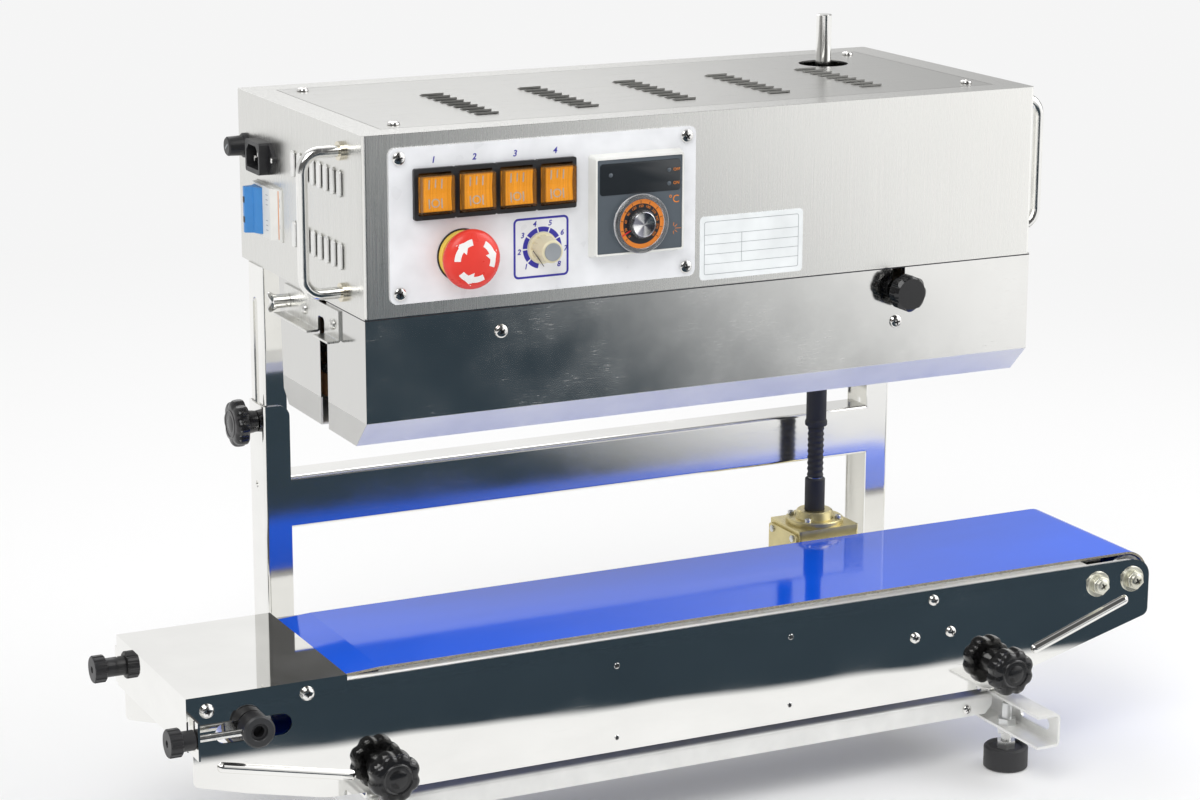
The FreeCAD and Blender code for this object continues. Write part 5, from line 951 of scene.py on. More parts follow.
class SEALER_OT_panel_dimples(Operator):
    """Small countersunk holes in the conveyor's side panels, each a bright rim round a dark disc of painted shade"""
    bl_idname = "sealer.panel_dimples"
    bl_label = "Panel dimples"

    def execute(self, context):
        finishes = palette()
        places = ((189.4, 128.8), (189.6, 74.0), (332.5, 129.8), (332.5, 76.5))
        for facing, y, side in (("front", 0.0, "front"), ("back", 150.0, "back")):
            rims = []
            hole_shades = []
            for x, z in places:
                rim = hooped("Rim", [(1.3, 0.0), (2.2, 0.0), (2.0, 0.18), (1.4, 0.22)], 24)
                # painted shade: a dark disc stands for the inside of the hole
                hole = turned("Hole_shade", [(1.4, 0.0), (1.3, 0.06)], 24)
                rims.append(put(rim, facing, at(x, y, z)))
                hole_shades.append(put(hole, facing, at(x, y, z)))
            finished(joined("Hole_rims_" + side, rims), finishes["chrome"], "conveyor")
            finished(joined("Hole_shades_" + side, hole_shades), finishes["dark"], "conveyor")
        return {"FINISHED"}


# Control panel
class SEALER_OT_switch_hoods(Operator):
    """Clear hoods over the four rocker switches, and the marks on the rockers"""
    bl_idname = "sealer.switch_hoods"
    bl_label = "Switch hoods"

    def execute(self, context):
        settings = context.scene.sealer_panel
        finishes = palette()
        for index in range(1, 5):
            key = "rocker_%d" % index
            centre = middle(key)
            low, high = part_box(key)
            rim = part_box("rocker_frames")[0].y
            width = (high.x - low.x) / MM - 2.0 + 1.6
            height = (high.z - low.z) / MM + 2.6
            depth = settings.hood_depth / MM
            hood = slab("Hood_%d" % index, width, height, 1.2, depth)
            pick_faces(hood, lambda place, normal: normal.z < -0.9)
            bpy.ops.mesh.delete(type="FACE")
            bpy.ops.object.mode_set(mode="OBJECT")
            pick_faces(hood, lambda place, normal: normal.z > 0.9)
            bpy.ops.transform.resize(value=(0.95, 0.965, 1), center_override=(0, 0, depth * MM))
            bpy.ops.object.mode_set(mode="OBJECT")
            alone(hood)
            wall = hood.modifiers.new("Wall", "SOLIDIFY")
            wall.thickness = 0.9 * MM
            wall.offset = -1
            bpy.ops.object.modifier_apply(modifier=wall.name)
            eased(hood, 0.35, 2, 50)
            put(hood, "front", Vector((centre.x, rim, centre.z)))
            finished(hood, finishes["hood"], "head")
            marks = []
            for side, glyph in ((1, "I"), (-1, "O")):
                mark = lettering("Mark", glyph, 8.5 * MM, 0)
                marks.append(put(mark, "up", Vector((0, side * 6.6 * MM, 0))))
                for x in (-4.6, 4.6):
                    marks.append(put(slab("Mark", 0.9, 6.5, 0, 0), "up", Vector((x * MM, side * 6.6 * MM, 0))))
            marking = put(joined("Rocker_marks_%d" % index, marks), "front", Vector((centre.x, low.y - 0.001, centre.z)))
            laid(marking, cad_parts[key], 0.12)
            finished(marking, finishes["white_ink"], key)
        return {"FINISHED"}


class SEALER_OT_switch_numbers(Operator):
    """Plain numbers over the four switches"""
    bl_idname = "sealer.switch_numbers"
    bl_label = "Switch numbers"

    def execute(self, context):
        settings = context.scene.sealer_panel
        finishes = palette()
        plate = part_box("panel_plate")[0].y
        numbers = []
        for index in range(1, 5):
            centre = middle("rocker_%d" % index)
            number = lettering("Number", str(index), settings.numeral * 1.15, settings.print_depth, 0.2, 0.00012)
            place = Vector((centre.x, plate - settings.print_depth / 2, at(0, 0, 505.9).z))
            numbers.append(put(number, "front", place))
        finished(joined("Switch_numbers", numbers), finishes["ink"], "head")
        return {"FINISHED"}


class SEALER_OT_speed_scale(Operator):
    """Frame, arc of segments and numbers round the speed knob, with the knob's cap and pointer"""
    bl_idname = "sealer.speed_scale"
    bl_label = "Speed scale"

    def execute(self, context):
        settings = context.scene.sealer_panel
        finishes = palette()
        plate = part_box("panel_plate")[0].y
        low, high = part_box("speed_knob")
        centre = (low + high) / 2
        thick = settings.print_depth / MM
        marks = []
        step = 270 / 7
        for index in range(7):
            marks.append(arc("Segment", 11.3, 14.6, 225 - index * step - 2.2, -(step - 4.4), thick))
        for index in range(8):
            angle = math.radians(225 - index * step)
            number = lettering("Number", str(index + 1), settings.numeral, settings.print_depth, 0.2, 0.00011)
            number.location = (17.6 * MM * math.cos(angle), 17.6 * MM * math.sin(angle), settings.print_depth / 2)
            alone(number)
            bpy.ops.object.transform_apply(location=True)
            marks.append(number)
        frame_line = outline("Frame", 41.5, 42.0, 3.6, 1.5, thick)
        put(frame_line, "up", Vector((-0.8 * MM, 0.4 * MM, 0)))
        marks.append(frame_line)
        printed = joined("Speed_scale", marks)
        put(printed, "front", Vector((centre.x, plate, centre.z)))
        finished(printed, finishes["ink"], "head")
        cap = turned("Speed_cap", [(6.2, 0), (6.2, 0.5), (5.8, 0.8), (5.2, 0.6)], 48)
        put(cap, "front", Vector((centre.x, low.y, centre.z)))
        finished(cap, finishes["grey"], "speed_knob")
        line = slab("Pointer", 4.6, 0.6, 0.2, 0.5)
        put(line, "up", Vector((-8.2 * MM, 0, 0)))
        skirt = slab("Pointer", 0.7, 14.2, 0.2, 0.35)
        put(skirt, "left", Vector((-8.9 * MM, 0, 9.2 * MM)), 90)
        pointer = joined("Speed_pointer", [line, skirt])
        put(pointer, "front", Vector((centre.x, low.y + 16.6 * MM, centre.z)), 35)
        finished(pointer, finishes["dark_ink"], "speed_knob")
        return {"FINISHED"}


class SEALER_OT_stop_button(Operator):
    """Turning arrows on the mushroom cap and a dark ring of painted shadow under its collar"""
    bl_idname = "sealer.stop_button"
    bl_label = "Stop button"

    def execute(self, context):
        finishes = palette()
        low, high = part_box("stop_button_cap")
        centre = (low + high) / 2
        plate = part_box("panel_plate")[0].y
        depth = (high.y - low.y) / MM
        cap = turned("Stop_cap", [(7.0, 0), (7.0, depth - 17.0), (11.0, depth - 14.0), (16.5, depth - 12.0), (19.4, depth - 11.0),
                                  (20.4, depth - 9.0), (20.5, depth - 7.4), (20.1, depth - 5.6), (18.9, depth - 3.9),
                                  (16.6, depth - 2.4), (13.0, depth - 1.2), (8.0, depth - 0.4), (3.0, depth - 0.05)], 72)
        put(cap, "front", Vector((centre.x, high.y, centre.z)))
        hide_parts("stop_button_cap")
        finished(cap, finishes["red"], "stop_button_cap", 50)
        arrows = []
        for start in (98, -22, 218):
            angle = math.radians(start - 80)
            deselect()
            bpy.ops.mesh.primitive_circle_add(vertices=3, radius=5.4 * MM, fill_type="NGON")
            tip = bpy.context.object
            tip.rotation_euler.z = angle - math.pi
            tip.location = (12.9 * MM * math.cos(angle - 0.15), 12.9 * MM * math.sin(angle - 0.15), 0)
            alone(tip)
            bpy.ops.object.transform_apply(location=True, rotation=True)
            arrows.append(arc("Arrow", 10.8, 15.0, start, -80, 0))
            arrows.append(tip)
        marks = put(joined("Stop_arrows", arrows), "front", Vector((centre.x, low.y - 0.004, centre.z)))
        laid(marks, cap, 0.15)
        finished(marks, finishes["white_ink"], "stop_button_cap", 60)
        low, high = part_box("stop_button_base")
        inside = (plate - high.y) / MM
        out = (plate - low.y) / MM
        collar = turned("Stop_collar", [(11.0, inside), (14.0, inside + 1.0), (14.0, 0.0), (17.6, 0.0), (17.2, out * 0.4), (16.4, out)], 64)
        put(collar, "front", Vector((centre.x, plate, centre.z)))
        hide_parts("stop_button_base")
        finished(collar, finishes["yellow"], "head", 40)
        # painted shadow: a thin dark ring round the foot of the collar
        ring = hooped("Stop_shadow_ring", [(17.4, 0), (18.4, 0), (18.4, 0.6), (18.1, 0.9), (17.4, 0.9)], 64)
        put(ring, "front", Vector((centre.x, plate, centre.z)))
        finished(ring, finishes["dark"], "head")
        return {"FINISHED"}


class SEALER_OT_controller(Operator):
    """Face, display window, lamps, printed marks and dial scale of the controller"""
    bl_idname = "sealer.controller"
    bl_label = "Controller"

    def execute(self, context):
        settings = context.scene.sealer_panel
        finishes = palette()
        thick = settings.print_depth / MM
        low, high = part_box("controller_body")
        centre = (low + high) / 2
        face_y = low.y + 0.0008
        face = slab("Controller_face", 65.4, 65.4, 0.9, 0.12)
        put(face, "front", Vector((centre.x, face_y, centre.z)))
        finished(face, finishes["face"], "head")
        window = slab("Controller_window", 62.0, 22.0, 2.2, 0.5)
        eased(window, 0.2)
        put(window, "front", Vector((centre.x + 0.0003, face_y, centre.z + 0.019)))
        finished(window, finishes["window"], "head")
        lamps = []
        for x, z in ((-22.6, 22.0), (22.4, 22.6), (22.4, 13.2)):
            lamp = turned("Lamp", [(1.5, 0), (1.5, 0.3), (1.0, 0.8), (0.4, 1.0)], 24)
            lamps.append(put(lamp, "front", Vector((centre.x + x * MM, face_y - 0.0004, centre.z + z * MM))))
        finished(joined("Controller_lamps", lamps), finishes["face"], "head")
        marks = []
        for words, size, x, z, lift in (("OFF", 3.0, 28.3, 22.6, 0.5), ("ON", 3.0, 28.0, 13.2, 0.5), ("°C", 7.6, 26.5, 1.6, 0.12)):
            mark = lettering("Mark", words, size * MM, settings.print_depth)
            place = Vector((centre.x + x * MM, face_y - (lift + thick / 2) * MM, centre.z + z * MM))
            marks.append(put(mark, "front", place))
        for index in range(5):
            angle = math.radians(-80 + index * 40)
            ray = slab("Ray", 2.4 if index != 2 else 4.6, 0.35, 0.1, thick)
            reach = 3.0 if index != 2 else 4.1
            put(ray, "up", Vector((reach * MM, 0, 0)))
            place = Vector((centre.x + 25.8 * MM, face_y - 0.12 * MM, centre.z - 18.9 * MM))
            marks.append(put(ray, "front", place, math.degrees(angle)))
        finished(joined("Controller_marks", marks), finishes["scale"], "head")
        dial_low, dial_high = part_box("controller_dial")
        dial = (dial_low + dial_high) / 2
        rim = dial_low.y + 0.0039
        disc = turned("Dial_disc", [(17.4, 0), (17.4, 0.15)], 72)
        put(disc, "front", Vector((dial.x, rim, dial.z)))
        finished(disc, finishes["dark_ink"], "controller_dial")
        ring = hooped("Dial_ring", [(14.2, 0.1), (17.3, 0.1), (17.3, 0.28), (14.2, 0.28)], 72)
        put(ring, "front", Vector((dial.x, rim, dial.z)))
        scale = []
        for index in range(11):
            angle = 222 - index * 26
            number = lettering("Number", str(index * 30), 2.5 * MM, settings.print_depth)
            put(number, "up", Vector((0, 12.3 * MM, 0.2 * MM)))
            scale.append(put(number, "up", Vector((0, 0, 0)), angle - 90))
        numbers = joined("Numbers", scale)
        put(numbers, "front", Vector((dial.x, rim, dial.z)))
        finished(joined("Dial_scale", [ring, numbers]), finishes["scale"], "controller_dial")
        ticks = []
        for index in range(11):
            tick = slab("Tick", 0.4, 1.9, 0.05, 0.06)
            put(tick, "up", Vector((0, 15.4 * MM, 0.28 * MM)))
            ticks.append(put(tick, "up", Vector((0, 0, 0)), 222 - index * 26 - 90))
        tick_piece = joined("Dial_ticks", ticks)
        put(tick_piece, "front", Vector((dial.x, rim, dial.z)))
        finished(tick_piece, finishes["dark_ink"], "controller_dial")
        pointer = slab("Dial_pointer", 8.4, 0.9, 0.2, 0.1)
        put(pointer, "up", Vector((-13.2 * MM, 0, 0.34 * MM)))
        put(pointer, "front", Vector((dial.x, rim, dial.z)), 27)
        finished(pointer, finishes["red_ink"], "controller_dial")
        hub = turned("Dial_hub", [(8.9, 0), (8.9, 0.4), (8.3, 0.8), (7.8, 0.55)], 64)
        put(hub, "front", Vector((dial.x, dial_low.y, dial.z)))
        finished(hub, spun_finish(dial), "controller_dial")
        teeth = []
        for index in range(72):
            rib = slab("Rib", 0.9, 3.0, 0.3, 0.5, 2)
            put(rib, "right", Vector((20.3 * MM, 0, 1.9 * MM)), 90)
            teeth.append(put(rib, "up", Vector((0, 0, 0)), index * 5))
        knurl = joined("Dial_knurl", teeth)
        put(knurl, "front", Vector((dial.x, dial_high.y - 0.0100, dial.z)))
        finished(knurl, finishes["knurl"], "controller_dial")
        return {"FINISHED"}


def spun_finish(centre):
    """Aluminium cap turned on a lathe, with a painted reflection of bright and dark rays about a centre."""
    material, tree, shader = finish("Spun cap painted reflection", (0.75, 0.75, 0.76), metallic=1.0)
    if tree:
        place = tree.nodes.new("ShaderNodeTexCoord")
        mapping = tree.nodes.new("ShaderNodeMapping")
        mapping.inputs["Location"].default_value = -centre
        painted_rays = tree.nodes.new("ShaderNodeTexGradient")
        painted_rays.gradient_type = "RADIAL"
        turn = tree.nodes.new("ShaderNodeMapping")
        turn.vector_type = "TEXTURE"
        turn.inputs["Rotation"].default_value = (math.pi / 2, 0, 0)
        tree.links.new(place.outputs["Object"], mapping.inputs["Vector"])
        tree.links.new(mapping.outputs["Vector"], turn.inputs["Vector"])
        tree.links.new(turn.outputs["Vector"], painted_rays.inputs["Vector"])
        # painted reflection: four bright and four dark sectors stand in for the cross-shaped highlight of a turned cap
        wave = maths(tree, "SINE", maths(tree, "MULTIPLY", painted_rays.outputs["Fac"], 8 * math.pi), 0.0)
        tree.links.new(blended(tree, ranged(tree, wave, 0, 1, -0.6, 0.6), (0.24, 0.24, 0.28), (0.9, 0.9, 0.9)), shader.inputs["Base Color"])
        fine = noise(tree, 600.0)
        tree.links.new(ranged(tree, fine, 0.22, 0.34), shader.inputs["Roughness"])
        relief(tree, shader, fine, 0.05, 0.0001)
    return material


class SEALER_OT_blank_label(Operator):
    """Pale label with ruled lines on the right of the panel"""
    bl_idname = "sealer.blank_label"
    bl_label = "Blank label"

    def execute(self, context):
        finishes = palette()
        label = slab("Label", 83.0, 45.5, 3.0, 0.25)
        put(label, "front", at(294.5, 0, 427.6))
        finished(label, finishes["label"], "head")
        rules = [outline("Rule", 76.0, 38.0, 1.5, 0.35, 0.1)]
        for z in (-11.5, -4.5, 2.5, 9.5):
            rule = slab("Rule", 75.6, 0.3, 0.0, 0.1)
            rules.append(put(rule, "up", Vector((0, z * MM, 0))))
        rules.append(put(slab("Rule", 0.3, 21.0, 0.0, 0.1), "up", Vector((-8 * MM, -1 * MM, 0))))
        lines = joined("Label_rules", rules)
        put(lines, "front", at(294.5, -0.22, 427.6))
        finished(lines, finishes["grey"], "head")
        return {"FINISHED"}


# Left side
class SEALER_OT_breaker_marks(Operator):
    """Orange line and small marks on the breaker, and dark patches of painted shade where the notches of its toggle
    are
    """
    bl_idname = "sealer.breaker_marks"
    bl_label = "Breaker marks"

    def execute(self, context):
        finishes = palette()
        low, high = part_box("breaker_body")
        centre = (low + high) / 2
        face = at(-1.0, 0, 0).x
        stripe = slab("Breaker_line", 1.3, 35.0, 0.2, 0.1)
        put(stripe, "left", Vector((face, low.y + 0.0053, centre.z)))
        finished(stripe, finishes["scale"], "head")
        nose = low.x
        small = []
        for z in (13.0, 9.5, 6.0, -5.5, -9.0, -12.5):
            small.append(put(slab("Line", 4.2, 0.5, 0.1, 0.08), "left", Vector((nose, low.y + 0.0182, centre.z + z * MM))))
        for z in (11.0, 7.5, -8.0):
            small.append(put(slab("Line", 0.45, 3.0, 0.1, 0.08), "left", Vector((face, low.y + 0.0030, centre.z + z * MM))))
        finished(joined("Breaker_print", small), finishes["grey"], "head")
        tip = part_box("breaker_toggle")
        # painted shade: dark patches stand for the notches in the toggle
        notch_shades = []
        for z in (7.2, -7.2):
            notch_shades.append(put(slab("Notch_shade", 3.2, 4.4, 0.3, 0.12), "left", Vector((tip[0].x, (tip[0].y + tip[1].y) / 2 + 0.0027, centre.z + z * MM))))
        finished(joined("Toggle_notch_shades", notch_shades), finishes["dark_ink"], "breaker_toggle")
        return {"FINISHED"}


class SEALER_OT_inlet_pins(Operator):
    """Bright pins in the mains inlet and the slot of the fuse holder"""
    bl_idname = "sealer.inlet_pins"
    bl_label = "Inlet pins"

    def execute(self, context):
        finishes = palette()
        pins = []
        for dy, dz in ((-7, -2), (7, -2), (0, 2)):
            pin = slab("Pin", 2.3, 4.3, 0.5, 12.2)
            pin = eased(pin, 0.3)
            pins.append(put(pin, "left", at(6.0, 186.5 + dy, 483.6 + dz)))
        finished(joined("Inlet_pins", pins), finishes["chrome"], "head")
        screws = []
        for y in (166.0, 207.0):
            head = turned("Head", [(2.3, 0), (2.3, 0.6), (1.6, 1.0)], 24)
            screws.append(put(head, "left", at(-3.0, y, 483.6)))
        finished(joined("Inlet_screws", screws), finishes["chrome"], "head")
        slot = slab("Fuse_slot", 7.0, 1.3, 0.3, 0.15)
        put(slot, "left", at(-15.0, 227.0, 485.5), 35)
        finished(slot, finishes["grey"], "head")
        return {"FINISHED"}


# Gearbox and infeed
class SEALER_OT_gearbox_bolts(Operator):
    """Socket screws on the gearbox collar and its side cover"""
    bl_idname = "sealer.gearbox_bolts"
    bl_label = "Gearbox bolts"

    def execute(self, context):
        finishes = palette()
        low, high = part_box("gearbox_case")
        rod = middle("drive_rod")
        heads = []
        for angle in (45, 135, 225, 315):
            head = turned("Bolt", [(2.6, 0), (2.6, 2.2), (2.2, 2.6), (1.4, 2.6), (1.3, 1.2)], 28)
            reach = 19.4 * MM
            place = Vector((rod.x + reach * math.cos(math.radians(angle)), rod.y + reach * math.sin(math.radians(angle)), at(0, 0, 162.0).z))
            heads.append(put(head, "up", place))
        side = at(423.0, 0, 0).x
        for y, z in ((158, 151), (190, 151), (158, 105), (190, 105)):
            head = turned("Bolt", [(2.8, 0), (2.8, 1.0), (2.2, 1.6), (1.2, 1.8)], 28)
            heads.append(put(head, "left", Vector((side, at(0, y, 0).y, z * MM))))
        finished(joined("Gearbox_bolts", heads), finishes["zinc"], "conveyor", 38)
        return {"FINISHED"}


class SEALER_OT_infeed_bushes(Operator):
    """Black bushes with their rims on the ends of the infeed axle"""
    bl_idname = "sealer.infeed_bushes"
    bl_label = "Infeed bushes"

    def execute(self, context):
        finishes = palette()
        for facing, y, side in (("front", -13.0, "front"), ("back", 163.0, "back")):
            rim = hooped("Infeed_bush_" + side, [(6.0, -0.4), (11.4, -0.4), (11.4, 0.9), (10.2, 1.9), (6.4, 1.9), (6.0, 1.5)], 56)
            put(rim, facing, at(-87.0, y, 127.5))
            finished(rim, finishes["bush"], "conveyor")
        return {"FINISHED"}


# Knobs
def lobed_knob(name, radius, thick, dip, reach):
    """Glossy lobed knob with a rounded rim, a raised ring and a domed disc."""
    deselect()
    bpy.ops.mesh.primitive_circle_add(vertices=32, radius=radius * MM, fill_type="NGON")
    piece = bpy.context.object
    piece.name = name
    pick_points(piece, lambda place: round(math.degrees(math.atan2(place.y, place.x)) / 11.25) % 4 == 2)
    share = (radius - dip) / radius
    bpy.ops.transform.resize(value=(share, share, 1), center_override=(0, 0, 0))
    bpy.ops.mesh.select_all(action="SELECT")
    bpy.ops.transform.resize(value=(0.90, 0.90, 1), center_override=(0, 0, 0))
    rise = [(1.11, 0.14), (1.0, 0.46), (0.95, 0.24), (0.86, 0.12), (0.86, 0.04)]
    high = 0.0
    for grow, step in rise:
        extrude(step * thick * MM)
        high += step * thick * MM
        bpy.ops.transform.resize(value=(grow, grow, 1), center_override=(0, 0, high))
    bpy.ops.object.mode_set(mode="OBJECT")
    smooth = piece.modifiers.new("Smooth", "SUBSURF")
    smooth.levels = 2
    smooth.render_levels = 2
    bpy.ops.object.modifier_apply(modifier=smooth.name)
    top = thick
    crown = turned("Crown", [(radius * 0.62, top * 0.7), (radius * 0.60, top * 0.99), (radius * 0.56, top * 1.03), (radius * 0.50, top * 0.99),
                             (radius * 0.44, top * 0.95), (radius * 0.40, top * 0.98), (radius * 0.28, top * 1.03), (radius * 0.10, top * 1.05)], 56)
    neck = turned("Neck", [(radius * 0.44, -reach), (radius * 0.50, -1.0), (radius * 0.62, 0.3 * thick)], 48)
    return joined(name, [piece, crown, neck])


class SEALER_OT_knobs(Operator):
    """Rounded lobed knobs in place of the plain ones"""
    bl_idname = "sealer.knobs"
    bl_label = "Lobed knobs"

    def execute(self, context):
        finishes = palette()
        for node, facing in (("clamp_knob_left", "front"), ("clamp_knob_right", "front"), ("column_knob_left", "left"), ("column_knob_right", "right")):
            low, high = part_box(node)
            centre = (low + high) / 2
            if facing == "front":
                radius = (high.x - low.x) / 2 / MM
                knob = lobed_knob("Star_knob" + node[10:], radius, 15.2, 2.8, 9.6)
                place = Vector((centre.x, low.y + 0.0280, centre.z))
            else:
                radius = (high.z - low.z) / 2 / MM
                knob = lobed_knob("Lobed_knob" + node[11:], radius, 11.5, 2.6, 8.0)
                place = centre.copy()
                place.x = low.x + 0.0150 if facing == "left" else high.x - 0.0150
            put(knob, facing, place, 22.5 if facing == "front" else 0)
            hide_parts(node)
            finished(knob, finishes["black"], node, 50)
        return {"FINISHED"}


# Stage
class SEALER_OT_stage(Operator):
    """Camera at the photograph's angle, pale floor, soft lamps and the cards that the metal mirrors"""
    bl_idname = "sealer.stage"
    bl_label = "Stage"

    def execute(self, context):
        settings = context.scene.sealer_stage
        scene = context.scene
        scene.view_settings.view_transform = "Standard"
        camera_data = bpy.data.cameras.new("Camera")
        camera = bpy.data.objects.new("Camera", camera_data)
        scene.collection.objects.link(camera)
        camera_data.lens = settings.lens
        camera_data.sensor_width = 36
        camera_data.clip_start = 0.05
        yaw, pitch, roll = 0.457006, 0.245812, 0.002095
        turn = Matrix.Rotation(-yaw, 4, "Z") @ Matrix.Rotation(math.pi / 2 - pitch, 4, "X") @ Matrix.Rotation(roll, 4, "Z")
        camera.matrix_world = Matrix.Translation((-1.002864, -1.981606, 0.852864)) @ turn
        scene.camera = camera
        self.backdrop(settings)
        self.world(scene, settings)
        self.lamp("Key", (-1.3, -1.5, 2.4), 1.6, settings.key_light)
        self.lamp("Fill", (1.9, -0.7, 1.7), 1.4, settings.key_light * 0.55)
        self.lamp("Rear", (0.3, 1.9, 2.1), 1.8, settings.key_light * 0.5)
        for name, place, size, turn, fades in (
                ("Near card", (0.455, -0.445, 0.003), (1.59, 0.29), 0.076, (0.06, 0.5, 0.05, 0.015)),
                ("Middle card", (-0.10, -0.88, 0.004), (1.45, 0.85), 0.0, (0.10, 0.30, 0.05, 0.02)),
                ("Far card", (0.515, -4.335, 0.005), (2.60, 6.40), 0.245, (0.40, 0.55, 1.00, 0.10))):
            self.card(name, place, size, turn, fades, settings.card)
        return {"FINISHED"}

    def backdrop(self, settings):
        """Pale floor that keeps the shadow and shows as backdrop to the camera and in metal."""
        deselect()
        bpy.ops.mesh.primitive_plane_add(size=14, location=(0, 0, 0))
        floor = bpy.context.object
        floor.name = "Floor"
        material = bpy.data.materials.new("Floor")
        material.use_nodes = True
        tree = material.node_tree
        tree.nodes.clear()
        output = tree.nodes.new("ShaderNodeOutputMaterial")
        surface = tree.nodes.new("ShaderNodeBsdfDiffuse")
        surface.inputs["Color"].default_value = (*settings.backdrop, 1)
        glow = tree.nodes.new("ShaderNodeEmission")
        glow.inputs["Color"].default_value = (*settings.backdrop, 1)
        path = tree.nodes.new("ShaderNodeLightPath")
        tree.links.new(ranged(tree, path.outputs["Is Glossy Ray"], 1.0, 1.08, 0, 1), glow.inputs["Strength"])
        mirrored = maths(tree, "MAXIMUM", path.outputs["Is Glossy Ray"], path.outputs["Is Transmission Ray"])
        place = tree.nodes.new("ShaderNodeTexCoord")
        reach = tree.nodes.new("ShaderNodeVectorMath")
        reach.operation = "LENGTH"
        tree.links.new(place.outputs["Object"], reach.inputs[0])
        glowing = ranged(tree, reach.outputs["Value"], 0.10, 1.0, 0.50, 2.2)
        seen = maths(tree, "MULTIPLY", path.outputs["Is Camera Ray"], glowing)
        mix = tree.nodes.new("ShaderNodeMixShader")
        tree.links.new(maths(tree, "MAXIMUM", seen, mirrored), mix.inputs["Fac"])
        tree.links.new(surface.outputs[0], mix.inputs[1])
        tree.links.new(glow.outputs[0], mix.inputs[2])
        tree.links.new(mix.outputs[0], output.inputs["Surface"])
        floor.data.materials.append(material)

    def world(self, scene, settings):
        """Even light from all round, white where the camera, metal or glass sees it."""
        world = bpy.data.worlds.new("Studio")
        scene.world = world
        world.use_nodes = True
        tree = world.node_tree
        background = tree.nodes["Background"]
        background.inputs["Color"].default_value = (0.93, 0.93, 0.93, 1)
        path = tree.nodes.new("ShaderNodeLightPath")
        sky = tree.nodes.new("ShaderNodeTexCoord")
        split = tree.nodes.new("ShaderNodeSeparateXYZ")
        tree.links.new(sky.outputs["Generated"], split.inputs[0])
        behind = maths(tree, "MULTIPLY", ranged(tree, split.outputs["X"], 1.0, 0.45, 0.40, 0.66),
                       ranged(tree, split.outputs["X"], 0.78, 1.0, -0.10, 0.25))
        before = ranged(tree, split.outputs["X"], 0.10, 1.70, 0.36, 0.60)
        side = ranged(tree, split.outputs["Y"], 0.0, 1.0, -0.25, 0.05)
        room = maths(tree, "ADD", maths(tree, "MULTIPLY", behind, side),
                     maths(tree, "MULTIPLY", before, maths(tree, "SUBTRACT", 1.0, side)))
        seen = maths(tree, "MAXIMUM", path.outputs["Is Camera Ray"], path.outputs["Is Transmission Ray"])
        even = maths(tree, "MULTIPLY", path.outputs["Is Diffuse Ray"], settings.world_light)
        mirrored = maths(tree, "MULTIPLY", path.outputs["Is Glossy Ray"], room)
        strength = maths(tree, "MAXIMUM", maths(tree, "MAXIMUM", seen, even), mirrored)
        tree.links.new(strength, background.inputs["Strength"])

    def lamp(self, name, place, size, power):
        """Square area lamp aimed at the middle of the machine."""
        light = bpy.data.lights.new(name, "AREA")
        light.size = size
        light.energy = power
        lamp = bpy.data.objects.new(name, light)
        bpy.context.scene.collection.objects.link(lamp)
        lamp.location = place
        lamp.rotation_euler = (Vector((0, 0, 0.3)) - Vector(place)).to_track_quat("-Z", "Y").to_euler()

    def card(self, name, place, size, turn, fades, colour):
        """Dark card that only reflections show, with its own softness at the left, right, front and back rims."""
        deselect()
        bpy.ops.mesh.primitive_plane_add(size=1, location=place, rotation=(0, 0, turn))
        card = bpy.context.object
        card.name = name
        card.scale = (*size, 1)
        card.visible_camera = False
        card.visible_diffuse = False
        card.visible_shadow = False
        card.visible_transmission = False
        material, tree, shader = finish(name, tuple(colour), 1.0)
        shader.inputs["Specular IOR Level"].default_value = 0.0
        local = tree.nodes.new("ShaderNodeTexCoord")
        split = tree.nodes.new("ShaderNodeSeparateXYZ")
        tree.links.new(local.outputs["Object"], split.inputs[0])
        left, right, front, back = fades
        rims = ((split.outputs["X"], left / size[0], right / size[0]), (split.outputs["Y"], front / size[1], back / size[1]))
        cover = 1.0
        for value, low, high in rims:
            cover = maths(tree, "MULTIPLY", ranged(tree, value, 0, 1, -0.5, low - 0.5), cover)
            cover = maths(tree, "MULTIPLY", ranged(tree, value, 1, 0, 0.5 - high, 0.5), cover)
        tree.links.new(cover, shader.inputs["Alpha"])
        card.data.materials.append(material)


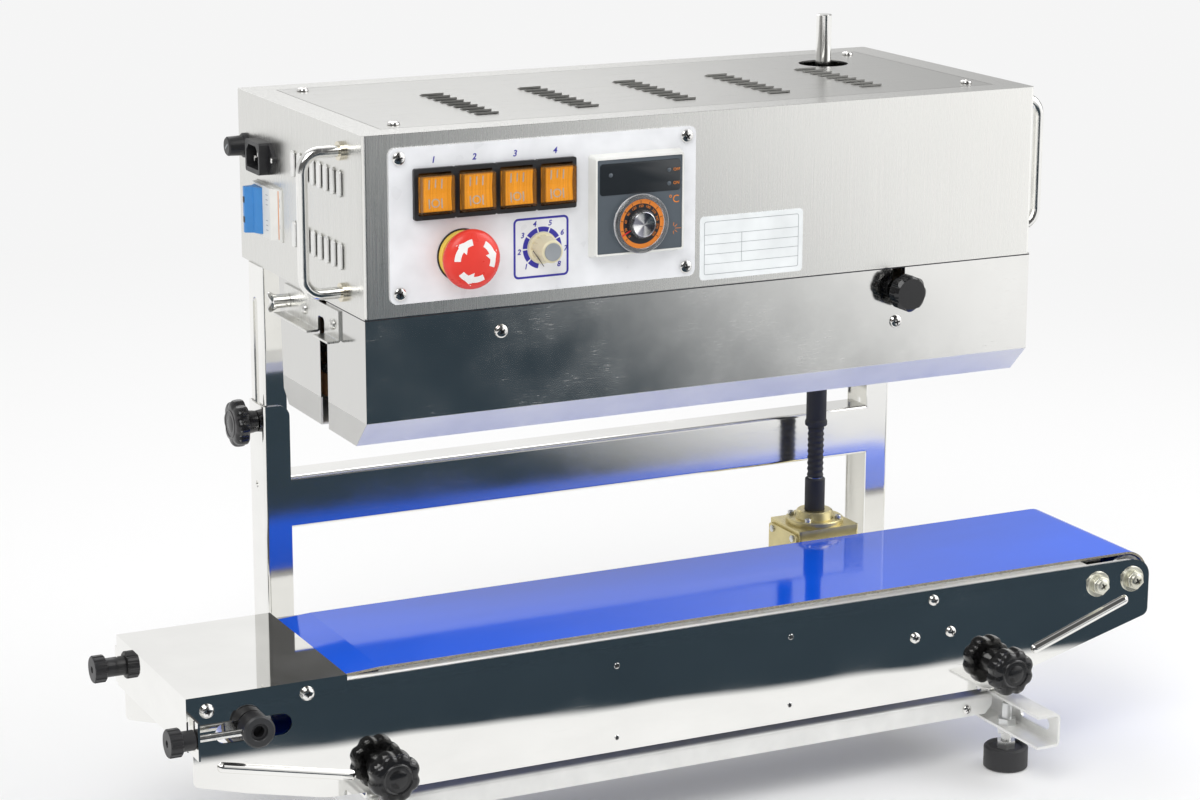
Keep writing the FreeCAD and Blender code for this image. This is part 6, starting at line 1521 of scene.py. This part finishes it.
STEPS = ("stage", "finishes", "pan_screws", "axle_hardware", "frame_bolts", "cover_seam", "side_hoods", "panel_dimples", "switch_hoods", "switch_numbers",
         "speed_scale", "stop_button", "controller", "blank_label", "breaker_marks", "inlet_pins", "gearbox_bolts",
         "infeed_bushes", "knobs")


class SEALER_PT_dressing(Panel):
    """Sidebar panel with every step of the dressing"""
    bl_idname = "SEALER_PT_dressing"
    bl_label = "Band Sealer"
    bl_space_type = "VIEW_3D"
    bl_region_type = "UI"
    bl_category = "Band Sealer"

    def draw(self, context):
        layout = self.layout
        for group in ("sealer_stage", "sealer_finishes", "sealer_panel", "sealer_hardware"):
            settings = getattr(context.scene, group)
            column = layout.column(align=True)
            for name in settings.__annotations__:
                column.prop(settings, name)
        for step in STEPS:
            layout.operator("sealer." + step)


SETTINGS = {
    "sealer_stage": StageSettings,
    "sealer_finishes": FinishSettings,
    "sealer_panel": PanelSettings,
    "sealer_hardware": HardwareSettings,
}

OPERATORS = (
    SEALER_OT_stage, SEALER_OT_finishes, SEALER_OT_pan_screws, SEALER_OT_axle_hardware, SEALER_OT_frame_bolts,
    SEALER_OT_cover_seam, SEALER_OT_side_hoods, SEALER_OT_panel_dimples, SEALER_OT_switch_hoods, SEALER_OT_switch_numbers, SEALER_OT_speed_scale,
    SEALER_OT_stop_button, SEALER_OT_controller, SEALER_OT_blank_label, SEALER_OT_breaker_marks,
    SEALER_OT_inlet_pins, SEALER_OT_gearbox_bolts, SEALER_OT_infeed_bushes, SEALER_OT_knobs,
)


def register():
    """Register the settings, the operators and the sidebar panel."""
    for name, group in SETTINGS.items():
        bpy.utils.register_class(group)
        setattr(bpy.types.Scene, name, PointerProperty(type=group))
    for operator in OPERATORS:
        bpy.utils.register_class(operator)
    bpy.utils.register_class(SEALER_PT_dressing)


def unregister():
    """Take everything out again."""
    bpy.utils.unregister_class(SEALER_PT_dressing)
    for operator in reversed(OPERATORS):
        bpy.utils.unregister_class(operator)
    for name, group in SETTINGS.items():
        delattr(bpy.types.Scene, name)
        bpy.utils.unregister_class(group)


def main():
    """Run every step."""
    register()
    for step in STEPS:
        getattr(bpy.ops.sealer, step)()
    deselect()


if __name__ == "__main__":
    main()
